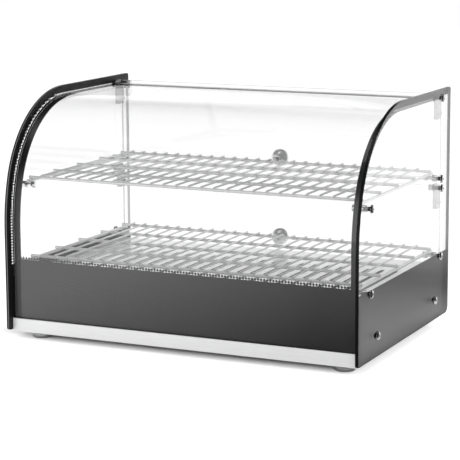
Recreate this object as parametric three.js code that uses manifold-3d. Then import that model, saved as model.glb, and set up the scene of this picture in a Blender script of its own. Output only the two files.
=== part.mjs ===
// A countertop heated display case. Two shaped glass side panels carry a bent front glass,
// a heated base with a slotted deck, two wire shelves and two clear flap doors at the back.
// Millimetres. +X is the right side, +Y the back, +Z up. Y counts from the panels' front edge.

import * as THREE from 'three';
import { mergeVertices } from 'three/addons/utils/BufferGeometryUtils.js';
import Module from 'manifold-3d';

const wasm = await Module();
wasm.setup();

// Fits
const seat = 0.3; // gap between pieces that rest on each other
const overrun = 6; // how far a cutter passes through the piece it cuts

// Side panels: vertical front edge, a wide lead arc, a tighter bend, a flat top edge
const caseWidth = 554;
const caseDepth = 376;
const caseHeight = 361;
const panelThickness = 5;
const groundClearance = 15; // floor to the panels' lower edge
const leadRadius = 271;
const bendRadius = 168;
const leadTurn = THREE.MathUtils.degToRad(16);
const toeCorner = 4; // radius of the front lower and the rear upper corner
const heelCorner = 10;

// Bent front glass
const glassInset = 12; // panel edge to the glass
const glassThickness = 4;
const glassSideGap = 1;
const glassGrip = 4; // how far the glass enters the upper pivots
const notchGap = 2; // room around the hinge blocks

// Sheet metal of the base
const sheet = 1.2;
const trimInset = 9; // panel edge to the face of the front trim
const trimTop = 32;
const trimFlange = 13.5;
const sealHeight = 3.9;
const panGap = 0.5; // behind the glass
const deckTop = 95;
const deckSideGap = 0.7;
const slotWidth = 7;
const slotLength = 161;
const slotPitch = 21.2;
const slotRearMargin = 81; // deck's rear edge to the slots
const slotSideMargin = 14;
const weldNutRadius = 4.5;
const weldNutThickness = 3;

// Round heads outside the side panels
const headRadius = 6.2;
const headHeight = 3.5;
const headRim = 0.8;

// Shelf studs
const frontStudSetback = 45;
const rearStudSetback = 40;
const upperShelfRise = 14.5; // lower hinge axis to the upper studs
const lowerShelfRise = 13.9; // deck to the lower studs
const studShankRadius = 2.5;
const studFlangeRadius = 5;
const studFlangeThickness = 8;
const studGrooveRadius = 3;
const studGrooveWidth = 7;
const studEndThickness = 6.5;
const shankPlay = 0.4; // between a shank and its hole

// Base screws
const baseScrewRadius = 2;
const baseScrewHeight = 45;
const frontScrewSetback = 72;
const rearScrewSetback = 62;

// Wire shelves
const frameWireRadius = 2.5;
const meshWireRadius = 1.5;
const weldDepth = 0.6;
const meshWirePitch = 20.1;
const meshSideMargin = 15;
const meshOverhang = 3;
const crossBarCount = 5;
const crossBarInset = 5; // stud axis to the outer cross bars
const crossBarOverhang = 3; // cross bars past the side wires
const sideWireTail = 5; // side wire past the stud axis

// Hinges
const hingeSetback = 39; // panels' rear edge to both hinge axes
const lowerHingeDrop = 149; // case's top to the lower hinge axis
const pivotShankRadius = 3;
const gripBodyRadius = 6;
const gripBodyLength = 18.6;
const plainBodyRadius = 5;
const plainBodyLength = 7.6;
const blockSideGap = 0.6;
const blockWidth = 5.4;
const blockRadius = 7;
const blockShoulder = 2; // height of the block's back face above the axis
const blockLength = 32;
const blockCorner = 3;
const blockEndGap = 0.4;

// Doors
const doorThickness = 4;
const doorOffset = 12.5; // hinge axis to the door's inner face
const doorSideGap = 1.5;
const upperDoorRise = 5; // door's top edge above its axis
const lowerDoorRise = 1;
const doorParting = 13; // upper door's lower edge above the lower axis
const doorLap = 9; // lower door over the base's rear panel
const doorRestGap = 0.6;
const knobRadius = 14;
const knobReach = 15.5; // door's back face to the ball's centre
const knobNeckRadius = 5;
const upperKnobRise = 13;
const lowerKnobRise = 26;
const knobBoreDepth = 10;
const screwRadius = 2;
const screwHeadRadius = 4.2;
const screwHeadHeight = 2;
const blockScrewRadius = 1.5;
const blockScrewHeadRadius = 2.5;
const blockScrewDrop = 24.5;
const blockScrewDepth = 9;

// Feet
const footRadius = 15;
const footChamfer = 1.5;
const footStemRadius = 2.5;
const footStemRise = 7;
const footSideSetback = 31; // panel's inner face to a foot's axis
const frontFootSetback = 42;
const rearFootSetback = 42;

// Heating elements and their brackets
const elementRadius = 4;
const elementBend = 50;
const elementFrontMargin = 44.4; // pan's front wall to the element's bend
const elementOffset = 120; // middle of the case to the middle of an element
const elementDrop = 24; // deck to the element's axis
const elementRearSetback = 84;
const bracketThickness = 1.5;
const bracketFlange = 12;
const bracketMargin = 12;
const bracketHang = 9; // bracket below the element's axis
const bracketEndSetback = 22; // from both ends of the straight legs

// Insulation pad
const padThickness = 18;
const padSideMargin = 52;
const padFrontMargin = 40;
const padRearMargin = 86;

// Controls on the rear panel
const controlHeight = 50;
const thermostatSetback = 102; // left panel to the thermostat
const thermostatWidth = 44;
const thermostatHeight = 36;
const thermostatDepth = 28;
const bushingRadius = 5;
const bushingLength = 2;
const spindleRadius = 3;
const spindleLength = 27;
const spindlePocket = 12; // spindle inside the thermostat
const dialRadius = 16;
const dialSkirt = 3;
const dialGripRadius = 12;
const dialHeight = 16;
const dialGap = 0.6;
const lampOffset = 50; // from the thermostat
const lampRadius = 6;
const lampBodyRadius = 4.7;
const lampDome = 3.5;
const lampLength = 14;
const switchOffset = 100; // from the thermostat
const switchWidth = 21;
const switchHeight = 13.6;
const switchDepth = 20;
const bezelLip = 2;
const recessDepth = 9;
const recessWall = 0.9;
const rockerGap = 0.6; // sideways
const rockerHeight = 10;
const rockerFoot = 2.4;
const rockerStand = 4.2; // pivot to the rocker's tips
const rockerDish = 1.6;
const rockerRoot = 3;
const rockerSink = 2.6; // bezel's face to the pivot
const rockerTilt = THREE.MathUtils.degToRad(8);
const glandSetback = 72; // right panel to the cable gland
const glandBore = 4;
const glandNeck = 6;
const glandFlange = 9;
const glandReach = 8;
const glandNut = 5;

// Terminal block, sensor and wiring behind the pad
const terminalWidth = 40;
const terminalDepth = 16;
const terminalHeight = 15;
const terminalRearGap = 30;
const terminalWell = 3;
const terminalPitch = 12;
const bulbRadius = 3;
const bulbLength = 60;
const bulbOffset = 38; // bulb's near end from the thermostat's middle
const bulbForward = 24;
const capillaryRadius = 1;
const loomRadius = 2.5;
const loomForward = 14; // loom's run in front of the rear panel's pieces
const loomLift = 0.8; // loom above the pan's floor

// Facets
const turnedSides = 10;
const ballSteps = 6;
const domeSteps = 2;
const wireSides = 6;
const tubeSides = 8;
const cornerSteps = 4;
const leadSteps = 4;
const bendSteps = 12;

// Places that several pieces share
const innerX = caseWidth / 2 - panelThickness;
const bendCentre = [
  leadRadius - (leadRadius - bendRadius) * Math.cos(leadTurn),
  caseHeight - bendRadius,
];
const leadCentre = [leadRadius, bendCentre[1] - (leadRadius - bendRadius) * Math.sin(leadTurn)];
const hingeY = caseDepth - hingeSetback;
const upperHingeZ = caseHeight - glassInset - glassThickness / 2;
const lowerHingeZ = caseHeight - lowerHingeDrop;
const frontStudY = frontStudSetback;
const rearStudY = caseDepth - rearStudSetback;
const upperStudZ = lowerHingeZ + upperShelfRise;
const lowerStudZ = deckTop + lowerShelfRise;
const glassBack = glassInset + glassThickness;
const glassRear = hingeY - gripBodyRadius + glassGrip;
const panFront = glassBack + panGap;
const panBottom = groundClearance - sheet;
const trimBottom = panBottom - seat - sheet;
const sealBottom = trimBottom + sheet + seat;
const glassBottom = sealBottom + sealHeight + seat;
const panHalf = innerX - seat;
const deckBottom = deckTop - sheet;
const wallTop = deckBottom - seat;
const doorInner = hingeY + doorOffset;
const rearPanelBack = doorInner - doorRestGap;
const rearPanelFront = rearPanelBack - sheet;
const panRear = rearPanelFront - seat;
const elementZ = deckTop - elementDrop;
const elementRearY = rearPanelBack - elementRearSetback;
const elementLeg = elementRearY - panFront - elementFrontMargin - elementBend;
const thermostatX = thermostatSetback - innerX;
const lampX = thermostatX + lampOffset;
const switchX = thermostatX + switchOffset;
const glandX = innerX - glandSetback;
const outerBlockX = innerX - blockSideGap;
const glassNotchX = outerBlockX - blockWidth - notchGap;
const overallDepth = doorInner + doorThickness + knobReach + knobRadius;

// Solid helpers

function solidOf(geometry) {
  const bare = new THREE.BufferGeometry();
  bare.setAttribute('position', geometry.attributes.position);
  bare.setIndex(geometry.index);
  const merged = mergeVertices(bare);
  const corners = merged.index.array;
  const triangles = [];
  for (let i = 0; i < corners.length; i += 3) {
    const [a, b, c] = corners.slice(i, i + 3);
    if (a !== b && b !== c && c !== a) triangles.push(a, b, c);
  }
  const vertProperties = new Float32Array(merged.attributes.position.array);
  const triVerts = new Uint32Array(triangles);
  return new wasm.Manifold(new wasm.Mesh({ numProp: 3, vertProperties, triVerts }));
}

function geometryOf(solid) {
  const mesh = solid.getMesh();
  const geometry = new THREE.BufferGeometry();
  geometry.setAttribute('position', new THREE.BufferAttribute(mesh.vertProperties, 3));
  geometry.setIndex(new THREE.BufferAttribute(mesh.triVerts, 1));
  geometry.computeVertexNormals();
  return geometry;
}

function joined(solids) {
  return solids.reduce((whole, next) => whole.add(next));
}

function carved(solid, cutters) {
  return cutters.reduce((rest, cutter) => rest.subtract(cutter), solid);
}

// A block between its lowest and highest corners.
function block(low, high) {
  const size = high.map((value, axis) => value - low[axis]);
  const middle = high.map((value, axis) => (value + low[axis]) / 2);
  return solidOf(new THREE.BoxGeometry(...size).translate(...middle));
}

// A round bar between two points.
function bar(from, to, radius, sides = turnedSides) {
  const start = new THREE.Vector3(...from);
  const reach = new THREE.Vector3(...to).sub(start);
  const length = reach.length();
  const turn = new THREE.Quaternion().setFromUnitVectors(THREE.Object3D.DEFAULT_UP, reach.normalize());
  const geometry = new THREE.CylinderGeometry(radius, radius, length, sides);
  geometry.translate(0, length / 2, 0).applyQuaternion(turn).translate(...start);
  return solidOf(geometry);
}

// A profile of [radius, height] pairs turned about the local Y axis.
function turned(profile, sides = turnedSides) {
  const points = profile.map(([radius, height]) => new THREE.Vector2(radius, height));
  return new THREE.LatheGeometry(points, sides);
}

// A turned piece along X whose far end points outward on side -1 or +1.
function turnedOutward(profile, side) {
  return solidOf(turned(profile).rotateZ((-side * Math.PI) / 2));
}

// A turned piece standing along Z.
function turnedUpright(profile, sides) {
  return solidOf(turned(profile, sides).rotateX(Math.PI / 2));
}

// Points of an arc about a centre, from one angle to another, ends included.
function arc([y, z], radius, from, to, steps) {
  return Array.from({ length: steps + 1 }, (_, i) => {
    const angle = from + ((to - from) * i) / steps;
    return [y + radius * Math.cos(angle), z + radius * Math.sin(angle)];
  });
}

// An outline of [y, z] points given thickness along X.
function slab(outline, fromX, toX) {
  const shape = new THREE.Shape(outline.map(([y, z]) => new THREE.Vector2(y, z)));
  const geometry = new THREE.ExtrudeGeometry(shape, { depth: toX - fromX, bevelEnabled: false });
  const axes = [0, 1, 2].map((axis) => new THREE.Vector3().setComponent((axis + 1) % 3, 1));
  geometry.applyMatrix4(new THREE.Matrix4().makeBasis(...axes));
  return solidOf(geometry.translate(fromX, 0, 0));
}

// A round tube along a curve.
function tube(path, radius, steps, sides = tubeSides) {
  const ring = arc([0, 0], radius, 0, 2 * Math.PI, sides).slice(0, sides);
  const section = new THREE.Shape(ring.map(([x, y]) => new THREE.Vector2(x, y)));
  return solidOf(new THREE.ExtrudeGeometry(section, { steps, extrudePath: path, bevelEnabled: false }));
}

// The rounded side of a head, from its widest ring to its crown.
function dome(radius, base, crown) {
  return arc([0, 0], 1, 0, Math.PI / 2, domeSteps).map(([across, along]) => [
    radius * across,
    base + (crown - base) * along,
  ]);
}

// Head of every fastener outside the side panels; height counts from the panel's face.
function outerHead() {
  return [[headRadius, seat], ...dome(headRadius, headRim, headHeight)];
}

// Materials
const finish = (color, roughness, metalness, extra = {}) =>
  new THREE.MeshStandardMaterial({ color, roughness, metalness, ...extra });
const clear = { transparent: true, opacity: 0.35 };
const panelGlass = () => finish(0x9aa0a2, 0.08, 0, clear);
const frontGlassFinish = () => finish(0xc8d0d0, 0.05, 0, clear);
const acrylic = () => finish(0xe6ecec, 0.1, 0, clear);
const chrome = () => finish(0xd8dadc, 0.12, 1);
const brushedSteel = () => finish(0xc4c6c8, 0.35, 1);
const rubber = () => finish(0x1b1b1c, 0.85, 0);
const blackPlastic = () => finish(0x161718, 0.45, 0);
const elementSteel = () => finish(0x5a5f57, 0.5, 0.8);
const wool = () => finish(0xd9d3c2, 0.95, 0);
const ceramic = () => finish(0xe8e6df, 0.6, 0);
const amberLens = () => finish(0xd2631c, 0.2, 0);

function part(name, solid, material, place = [0, 0, 0]) {
  const mesh = new THREE.Mesh(geometryOf(solid), material);
  mesh.name = name;
  mesh.position.set(...place);
  return mesh;
}

const sides = [['left', -1], ['right', 1]];

// Glass shell

// The lead arc and the bend at an inset from the panels' edge, from the front to the flat top.
function bentContour(inset) {
  return [
    ...arc(leadCentre, leadRadius - inset, Math.PI, Math.PI - leadTurn, leadSteps),
    ...arc(bendCentre, bendRadius - inset, Math.PI - leadTurn, Math.PI / 2, bendSteps).slice(1),
  ];
}

function panelOutline() {
  const low = groundClearance;
  return [
    ...arc([toeCorner, low + toeCorner], toeCorner, 1.5 * Math.PI, Math.PI, cornerSteps),
    ...bentContour(0),
    ...arc([caseDepth - toeCorner, caseHeight - toeCorner], toeCorner, Math.PI / 2, 0, cornerSteps),
    ...arc([caseDepth - heelCorner, low + heelCorner], heelCorner, 0, -Math.PI / 2, cornerSteps),
  ];
}

const studPlaces = [
  ['upper_front', frontStudY, upperStudZ],
  ['upper_rear', rearStudY, upperStudZ],
  ['lower_front', frontStudY, lowerStudZ],
  ['lower_rear', rearStudY, lowerStudZ],
];
const screwPlaces = [
  ['front', frontScrewSetback, baseScrewHeight],
  ['rear', caseDepth - rearScrewSetback, baseScrewHeight],
];

function sidePanel([label, side]) {
  const [fromX, toX] = side > 0 ? [innerX, caseWidth / 2] : [-caseWidth / 2, -innerX];
  const hole = (y, z, radius) =>
    bar([fromX - overrun, y, z], [toX + overrun, y, z], radius + shankPlay);
  const holes = [
    ...studPlaces.map(([, y, z]) => hole(y, z, studShankRadius)),
    ...screwPlaces.map(([, y, z]) => hole(y, z, baseScrewRadius)),
    hole(hingeY, upperHingeZ, pivotShankRadius),
    hole(hingeY, lowerHingeZ, pivotShankRadius),
  ];
  return part(`side_panel_${label}`, carved(slab(panelOutline(), fromX, toX), holes), panelGlass());
}

function frontGlass() {
  const half = innerX - glassSideGap;
  const outline = [
    [glassInset, glassBottom],
    ...bentContour(glassInset),
    [glassRear, caseHeight - glassInset],
    [glassRear, caseHeight - glassBack],
    ...bentContour(glassBack).reverse(),
    [glassBack, glassBottom],
  ];
  const notches = sides.map(([, side]) => {
    const inner = side * glassNotchX;
    const outer = side * (innerX + overrun);
    return block(
      [Math.min(inner, outer), hingeY - blockRadius - notchGap, bendCentre[1]],
      [Math.max(inner, outer), glassRear + overrun, caseHeight],
    );
  });
  return part('front_glass', carved(slab(outline, -half, half), notches), frontGlassFinish());
}

// Heated base

function frontTrim() {
  const ledge = glassInset - seat;
  const outline = [
    [trimInset, trimBottom],
    [trimInset + trimFlange, trimBottom],
    [trimInset + trimFlange, trimBottom + sheet],
    [trimInset + sheet, trimBottom + sheet],
    [trimInset + sheet, trimTop - sheet],
    [ledge, trimTop - sheet],
    [ledge, trimTop],
    [trimInset, trimTop],
  ];
  return part('front_trim', slab(outline, -panHalf, panHalf), brushedSteel());
}

function glassBedSeal() {
  const half = innerX - glassSideGap;
  const low = [-half, trimInset + sheet + seat, sealBottom];
  const high = [half, panFront - seat, sealBottom + sealHeight];
  return part('glass_bed_seal', block(low, high), rubber());
}

const footPlaces = [
  ['front_left', -1, frontFootSetback],
  ['front_right', 1, frontFootSetback],
  ['rear_left', -1, caseDepth - rearFootSetback],
  ['rear_right', 1, caseDepth - rearFootSetback],
].map(([label, side, y]) => [label, side * (innerX - footSideSetback), y]);

function basePan() {
  const wall = panHalf - sheet;
  const outer = block([-panHalf, panFront, panBottom], [panHalf, panRear, wallTop]);
  const inside = block(
    [-wall, panFront + sheet, groundClearance],
    [wall, panRear + overrun, wallTop + overrun],
  );
  const nuts = [];
  const holes = footPlaces.map(([, x, y]) =>
    bar([x, y, panBottom - overrun], [x, y, panBottom + overrun], footStemRadius + shankPlay));
  for (const [, side] of sides) {
    for (const [, y, z] of screwPlaces) {
      const inner = side * (wall - weldNutThickness);
      nuts.push(bar([inner, y, z], [side * (wall + sheet / 2), y, z], weldNutRadius, wireSides));
      holes.push(bar([inner - side * overrun, y, z], [side * (panHalf + overrun), y, z],
        baseScrewRadius + shankPlay));
    }
  }
  return part('base_pan', carved(joined([carved(outer, [inside]), ...nuts]), holes), brushedSteel());
}

// A slot's outline in the XY plane, with round ends.
function slotOutline(x, rearY) {
  const radius = slotWidth / 2;
  const path = new THREE.Path();
  const rearEnd = arc([x, rearY - radius], radius, 0, Math.PI, cornerSteps);
  const frontEnd = arc([x, rearY - slotLength + radius], radius, Math.PI, 2 * Math.PI, cornerSteps);
  path.setFromPoints([...rearEnd, ...frontEnd].map(([px, py]) => new THREE.Vector2(px, py)));
  return path;
}

function heatPlate() {
  const half = innerX - deckSideGap;
  const corners = [[-half, panFront], [half, panFront], [half, rearPanelBack], [-half, rearPanelBack]];
  const shape = new THREE.Shape(corners.map(([x, y]) => new THREE.Vector2(x, y)));
  const pairs = Math.floor((half - slotSideMargin) / slotPitch);
  for (let i = -pairs; i <= pairs; i += 1) {
    shape.holes.push(slotOutline(i * slotPitch, rearPanelBack - slotRearMargin));
  }
  const geometry = new THREE.ExtrudeGeometry(shape, { depth: sheet, bevelEnabled: false });
  return part('heat_plate', solidOf(geometry), brushedSteel(), [0, 0, deckBottom]);
}

function foot([label, x, y]) {
  const top = panBottom - seat;
  const profile = [
    [0, 0],
    [footRadius - footChamfer, 0],
    [footRadius, footChamfer],
    [footRadius, top],
    [footStemRadius, top],
    [footStemRadius, top + footStemRise],
    [0, top + footStemRise],
  ];
  return part(`foot_${label}`, turnedUpright(profile, turnedSides + cornerSteps), chrome(), [x, y, 0]);
}

function insulationPad() {
  const half = panHalf - padSideMargin;
  const low = [-half, panFront + padFrontMargin, groundClearance + seat];
  const high = [half, panRear - padRearMargin, groundClearance + seat + padThickness];
  return part('insulation_pad', block(low, high), wool());
}

// A hairpin in the XY plane: back to front, a half turn, and back again.
class Hairpin extends THREE.Curve {
  getPoint(t, target = new THREE.Vector3()) {
    const bend = Math.PI * elementBend;
    const travelled = t * (2 * elementLeg + bend);
    if (travelled < elementLeg) return target.set(-elementBend, -travelled, 0);
    if (travelled > elementLeg + bend) {
      return target.set(elementBend, travelled - bend - 2 * elementLeg, 0);
    }
    const turn = (travelled - elementLeg) / elementBend;
    const forward = elementLeg + elementBend * Math.sin(turn);
    return target.set(-elementBend * Math.cos(turn), -forward, 0);
  }
}

function heatingElement([label, side]) {
  const place = [side * elementOffset, elementRearY, elementZ];
  const steps = 2 * bendSteps;
  return part(`heating_element_${label}`, tube(new Hairpin(), elementRadius, steps), elementSteel(), place);
}

// A hanging strip under the deck with a hole for each leg of the elements.
function elementBracket(label, y) {
  const half = elementOffset + elementBend + bracketMargin;
  const web = block([-half, y, elementZ - bracketHang], [half, y + bracketThickness, wallTop]);
  const flange = block([-half, y, wallTop - bracketThickness], [half, y + bracketFlange, wallTop]);
  const holes = [];
  for (const [, side] of sides) {
    for (const [, leg] of sides) {
      const x = side * elementOffset + leg * elementBend;
      holes.push(bar([x, y - overrun, elementZ], [x, y + overrun, elementZ], elementRadius + shankPlay));
    }
  }
  return part(`element_bracket_${label}`, carved(joined([web, flange]), holes), brushedSteel());
}

// Controls on the base's rear panel

// A round hole or body along Y at a control's place.
const alongY = (x, fromY, toY, radius) => bar([x, fromY, controlHeight], [x, toY, controlHeight], radius);

function rearPanel() {
  const plate = block([-panHalf, rearPanelFront, panBottom], [panHalf, rearPanelBack, wallTop]);
  const through = [rearPanelFront - overrun, rearPanelBack + overrun];
  const wide = switchWidth / 2 + seat;
  const high = switchHeight / 2 + seat;
  const cuts = [
    alongY(thermostatX, ...through, bushingRadius + shankPlay),
    alongY(lampX, ...through, lampBodyRadius + shankPlay),
    alongY(glandX, ...through, glandNeck + shankPlay),
    block([switchX - wide, through[0], controlHeight - high], [switchX + wide, through[1], controlHeight + high]),
  ];
  return part('rear_panel', carved(plate, cuts), brushedSteel());
}

const spindleStart = rearPanelBack - spindlePocket;

function thermostatBody() {
  const front = panRear - thermostatDepth;
  const low = [thermostatX - thermostatWidth / 2, front, controlHeight - thermostatHeight / 2];
  const high = [thermostatX + thermostatWidth / 2, panRear, controlHeight + thermostatHeight / 2];
  const bushing = alongY(thermostatX, front, rearPanelBack + bushingLength, bushingRadius);
  const bore = alongY(thermostatX, spindleStart - seat, rearPanelBack + overrun, spindleRadius + shankPlay);
  return part('thermostat_body', carved(joined([block(low, high), bushing]), [bore]), blackPlastic());
}

function thermostatSpindle() {
  const solid = bar([0, 0, 0], [0, spindleLength, 0], spindleRadius);
  return part('thermostat_spindle', solid, chrome(), [thermostatX, spindleStart, controlHeight]);
}

function thermostatKnob() {
  const base = rearPanelBack + bushingLength + dialGap;
  const boreEnd = spindleStart + spindleLength - base + seat;
  const bore = spindleRadius + shankPlay;
  const profile = [
    [0, boreEnd],
    [bore, boreEnd],
    [bore, 0],
    [dialRadius, 0],
    [dialRadius, dialSkirt],
    [dialGripRadius, dialSkirt],
    [dialGripRadius, dialHeight],
    [0, dialHeight],
  ];
  const place = [thermostatX, base, controlHeight];
  return part('thermostat_knob', solidOf(turned(profile, 2 * turnedSides)), blackPlastic(), place);
}

function pilotLamp() {
  const profile = [
    [0, -lampLength],
    [lampBodyRadius, -lampLength],
    [lampBodyRadius, seat],
    [lampRadius, seat],
    ...dome(lampRadius, headRim, lampDome),
  ];
  const place = [lampX, rearPanelBack, controlHeight];
  return part('pilot_lamp', solidOf(turned(profile)), amberLens(), place);
}

const bezelBack = rearPanelBack + seat + bezelLip;

function switchHousing() {
  const wide = switchWidth / 2;
  const high = switchHeight / 2;
  const box = (grow, fromY, toY) => block(
    [switchX - wide - grow, fromY, controlHeight - high - grow],
    [switchX + wide + grow, toY, controlHeight + high + grow],
  );
  const bezel = box(bezelLip, rearPanelBack + seat, bezelBack);
  const body = box(0, bezelBack - switchDepth, bezelBack);
  const recess = box(-recessWall, bezelBack - recessDepth, bezelBack + overrun);
  return part('switch_housing', carved(joined([bezel, body]), [recess]), blackPlastic());
}

// A dished rocker about its pivot, tipped to its off position.
function switchRocker() {
  const tip = rockerHeight / 2;
  const outline = [
    [-rockerRoot, rockerFoot],
    [-rockerRoot, -rockerFoot],
    [rockerStand - bezelLip, -tip],
    [rockerStand, -tip],
    [rockerStand - rockerDish, 0],
    [rockerStand, tip],
    [rockerStand - bezelLip, tip],
  ];
  const half = switchWidth / 2 - recessWall - rockerGap;
  const mesh = part('switch_rocker', slab(outline, -half, half), blackPlastic());
  mesh.position.set(switchX, bezelBack - rockerSink, controlHeight);
  mesh.rotation.x = -rockerTilt;
  return mesh;
}

function cableGland() {
  const outer = rearPanelBack + seat;
  const inner = rearPanelFront - seat;
  const profile = [
    [glandBore, inner - glandNut],
    [glandFlange, inner - glandNut],
    [glandFlange, inner],
    [glandNeck, inner],
    [glandNeck, outer],
    [glandFlange, outer],
    [glandFlange, outer + glandReach / 2],
    [glandNeck, outer + glandReach],
    [glandBore, outer + glandReach],
    [glandBore, inner - glandNut],
  ];
  return part('cable_gland', solidOf(turned(profile)), blackPlastic(), [glandX, 0, controlHeight]);
}

const terminalFront = panRear - terminalRearGap - terminalDepth;

function terminalBlock() {
  const base = groundClearance + seat;
  const top = base + terminalHeight;
  const body = block(
    [glandX - terminalWidth / 2, terminalFront, base],
    [glandX + terminalWidth / 2, terminalFront + terminalDepth, top],
  );
  const wells = [-1, 0, 1].map((step) => {
    const x = glandX + step * terminalPitch;
    const y = terminalFront + terminalDepth / 2;
    return bar([x, y, top - terminalHeight / 2], [x, y, top + overrun], terminalWell);
  });
  return part('terminal_block', carved(body, wells), ceramic());
}

// The sensing bulb lies under the deck; its capillary drops to the thermostat.
function thermostatSensor() {
  const bodyTop = controlHeight + thermostatHeight / 2 + seat;
  const bulbZ = wallTop - bulbRadius;
  const startY = panRear - thermostatDepth / 2;
  const bulbY = startY - bulbForward;
  const nearX = thermostatX + bulbOffset;
  const bulb = bar([nearX, bulbY, bulbZ], [nearX + bulbLength, bulbY, bulbZ], bulbRadius, tubeSides);
  const route = [
    [thermostatX, startY, bodyTop],
    [thermostatX, startY, (bodyTop + bulbZ) / 2],
    [thermostatX + bulbOffset / 3, (startY + bulbY) / 2, bulbZ],
    [nearX + bulbRadius, bulbY, bulbZ],
  ];
  const path = new THREE.CatmullRomCurve3(route.map((point) => new THREE.Vector3(...point)));
  return part('thermostat_sensor', joined([bulb, tube(path, capillaryRadius, bendSteps, wireSides)]), chrome());
}

// Wiring from the terminal block along the pan's floor to the thermostat.
function wiringLoom() {
  const rest = groundClearance + loomLift + loomRadius;
  const blockEnd = glandX - terminalWidth / 2 - seat;
  const blockMiddle = terminalFront + terminalDepth / 2;
  const run = panRear - thermostatDepth - loomForward;
  const low = controlHeight - thermostatHeight / 2 - seat;
  const bodyY = panRear - thermostatDepth / 2;
  const route = [
    [blockEnd, blockMiddle, rest],
    [(blockEnd + switchX) / 2, run, rest],
    [switchX, run, rest],
    [thermostatX + thermostatWidth, run, rest],
    [thermostatX, bodyY, (rest + low) / 2],
    [thermostatX, bodyY, low],
  ];
  const path = new THREE.CatmullRomCurve3(route.map((point) => new THREE.Vector3(...point)));
  return part('wiring_loom', tube(path, loomRadius, 2 * bendSteps, wireSides), rubber());
}

// Fasteners through the side panels

function shelfStud(sideEntry, [label, y, z]) {
  const [sideLabel, side] = sideEntry;
  const face = -(panelThickness + seat);
  const groove = face - studFlangeThickness;
  const end = groove - studGrooveWidth;
  const profile = [
    [0, end - studEndThickness],
    [studFlangeRadius, end - studEndThickness],
    [studFlangeRadius, end],
    [studGrooveRadius, end],
    [studGrooveRadius, groove],
    [studFlangeRadius, groove],
    [studFlangeRadius, face],
    [studShankRadius, face],
    [studShankRadius, seat],
    ...outerHead(),
  ];
  const place = [(side * caseWidth) / 2, y, z];
  return part(`stud_${label}_${sideLabel}`, turnedOutward(profile, side), chrome(), place);
}

function baseScrew(sideEntry, [label, y, z]) {
  const [sideLabel, side] = sideEntry;
  const tip = -(panelThickness + seat + sheet + weldNutThickness);
  const profile = [[0, tip], [baseScrewRadius, tip], [baseScrewRadius, seat], ...outerHead()];
  const place = [(side * caseWidth) / 2, y, z];
  return part(`base_screw_${label}_${sideLabel}`, turnedOutward(profile, side), chrome(), place);
}

function hingePivot(name, side, z, bodyRadius, bodyLength, cutters = []) {
  const shoulder = -(panelThickness + blockSideGap + blockWidth + blockEndGap);
  const profile = [
    [0, shoulder - bodyLength],
    [bodyRadius, shoulder - bodyLength],
    [bodyRadius, shoulder],
    [pivotShankRadius, shoulder],
    [pivotShankRadius, seat],
    ...outerHead(),
  ];
  const solid = carved(turnedOutward(profile, side), cutters);
  return part(name, solid, chrome(), [(side * caseWidth) / 2, hingeY, z]);
}

// The upper pivots grip the rear edge of the bent glass in a slot.
function gripPivot([label, side]) {
  const slot = glassThickness / 2 + seat;
  const near = side * (glassNotchX + seat - caseWidth / 2);
  const far = near - side * (gripBodyLength + overrun);
  const cutter = block(
    [Math.min(near, far), -gripBodyRadius - overrun, -slot],
    [Math.max(near, far), glassRear - hingeY + seat, slot],
  );
  const name = `hinge_pivot_upper_${label}`;
  return hingePivot(name, side, upperHingeZ, gripBodyRadius, gripBodyLength, [cutter]);
}

function plainPivot([label, side]) {
  const name = `hinge_pivot_lower_${label}`;
  return hingePivot(name, side, lowerHingeZ, plainBodyRadius, plainBodyLength);
}

// Wire shelves

function crossBarPlaces() {
  const first = frontStudY + crossBarInset;
  const last = rearStudY - crossBarInset;
  return Array.from({ length: crossBarCount }, (_, i) => first + ((last - first) * i) / (crossBarCount - 1));
}

function wireShelf(name, studZ) {
  const half = innerX - seat - studFlangeThickness - studGrooveWidth / 2;
  const bars = crossBarPlaces();
  const barZ = 2 * frameWireRadius - weldDepth;
  const barEnd = half + crossBarOverhang;
  const meshZ = barZ + frameWireRadius + meshWireRadius - weldDepth;
  const wires = sides.map(([, side]) =>
    bar([side * half, frontStudY - sideWireTail, 0], [side * half, rearStudY + sideWireTail, 0],
      frameWireRadius, wireSides));
  for (const y of bars) wires.push(bar([-barEnd, y, barZ], [barEnd, y, barZ], frameWireRadius, wireSides));
  const pairs = Math.floor((half - meshSideMargin) / meshWirePitch);
  for (let i = -pairs; i <= pairs; i += 1) {
    const x = i * meshWirePitch;
    wires.push(bar([x, bars[0] - meshOverhang, meshZ], [x, bars.at(-1) + meshOverhang, meshZ],
      meshWireRadius, wireSides - 2));
  }
  const rest = studZ + studGrooveRadius + seat + frameWireRadius;
  return part(name, joined(wires), chrome(), [0, 0, rest]);
}

// Flap doors, built about their hinge axis

function hingeBlock(name, side) {
  const back = doorOffset - seat;
  const low = -blockLength;
  const outline = [
    [back, low],
    [back, blockShoulder],
    ...arc([0, 0], blockRadius, Math.PI / 3, Math.PI, cornerSteps),
    ...arc([blockCorner - blockRadius, low + blockCorner], blockCorner, Math.PI, 1.5 * Math.PI, cornerSteps),
  ];
  const outer = side * outerBlockX;
  const inner = side * (outerBlockX - blockWidth);
  const middle = (outer + inner) / 2;
  const body = slab(outline, Math.min(outer, inner), Math.max(outer, inner));
  const cuts = [
    bar([outer + side * overrun, 0, 0], [inner - side * overrun, 0, 0], pivotShankRadius + shankPlay),
    bar([middle, back - blockScrewDepth - seat, -blockScrewDrop], [middle, back + overrun, -blockScrewDrop],
      blockScrewRadius + seat),
  ];
  return part(name, carved(body, cuts), acrylic());
}

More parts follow.
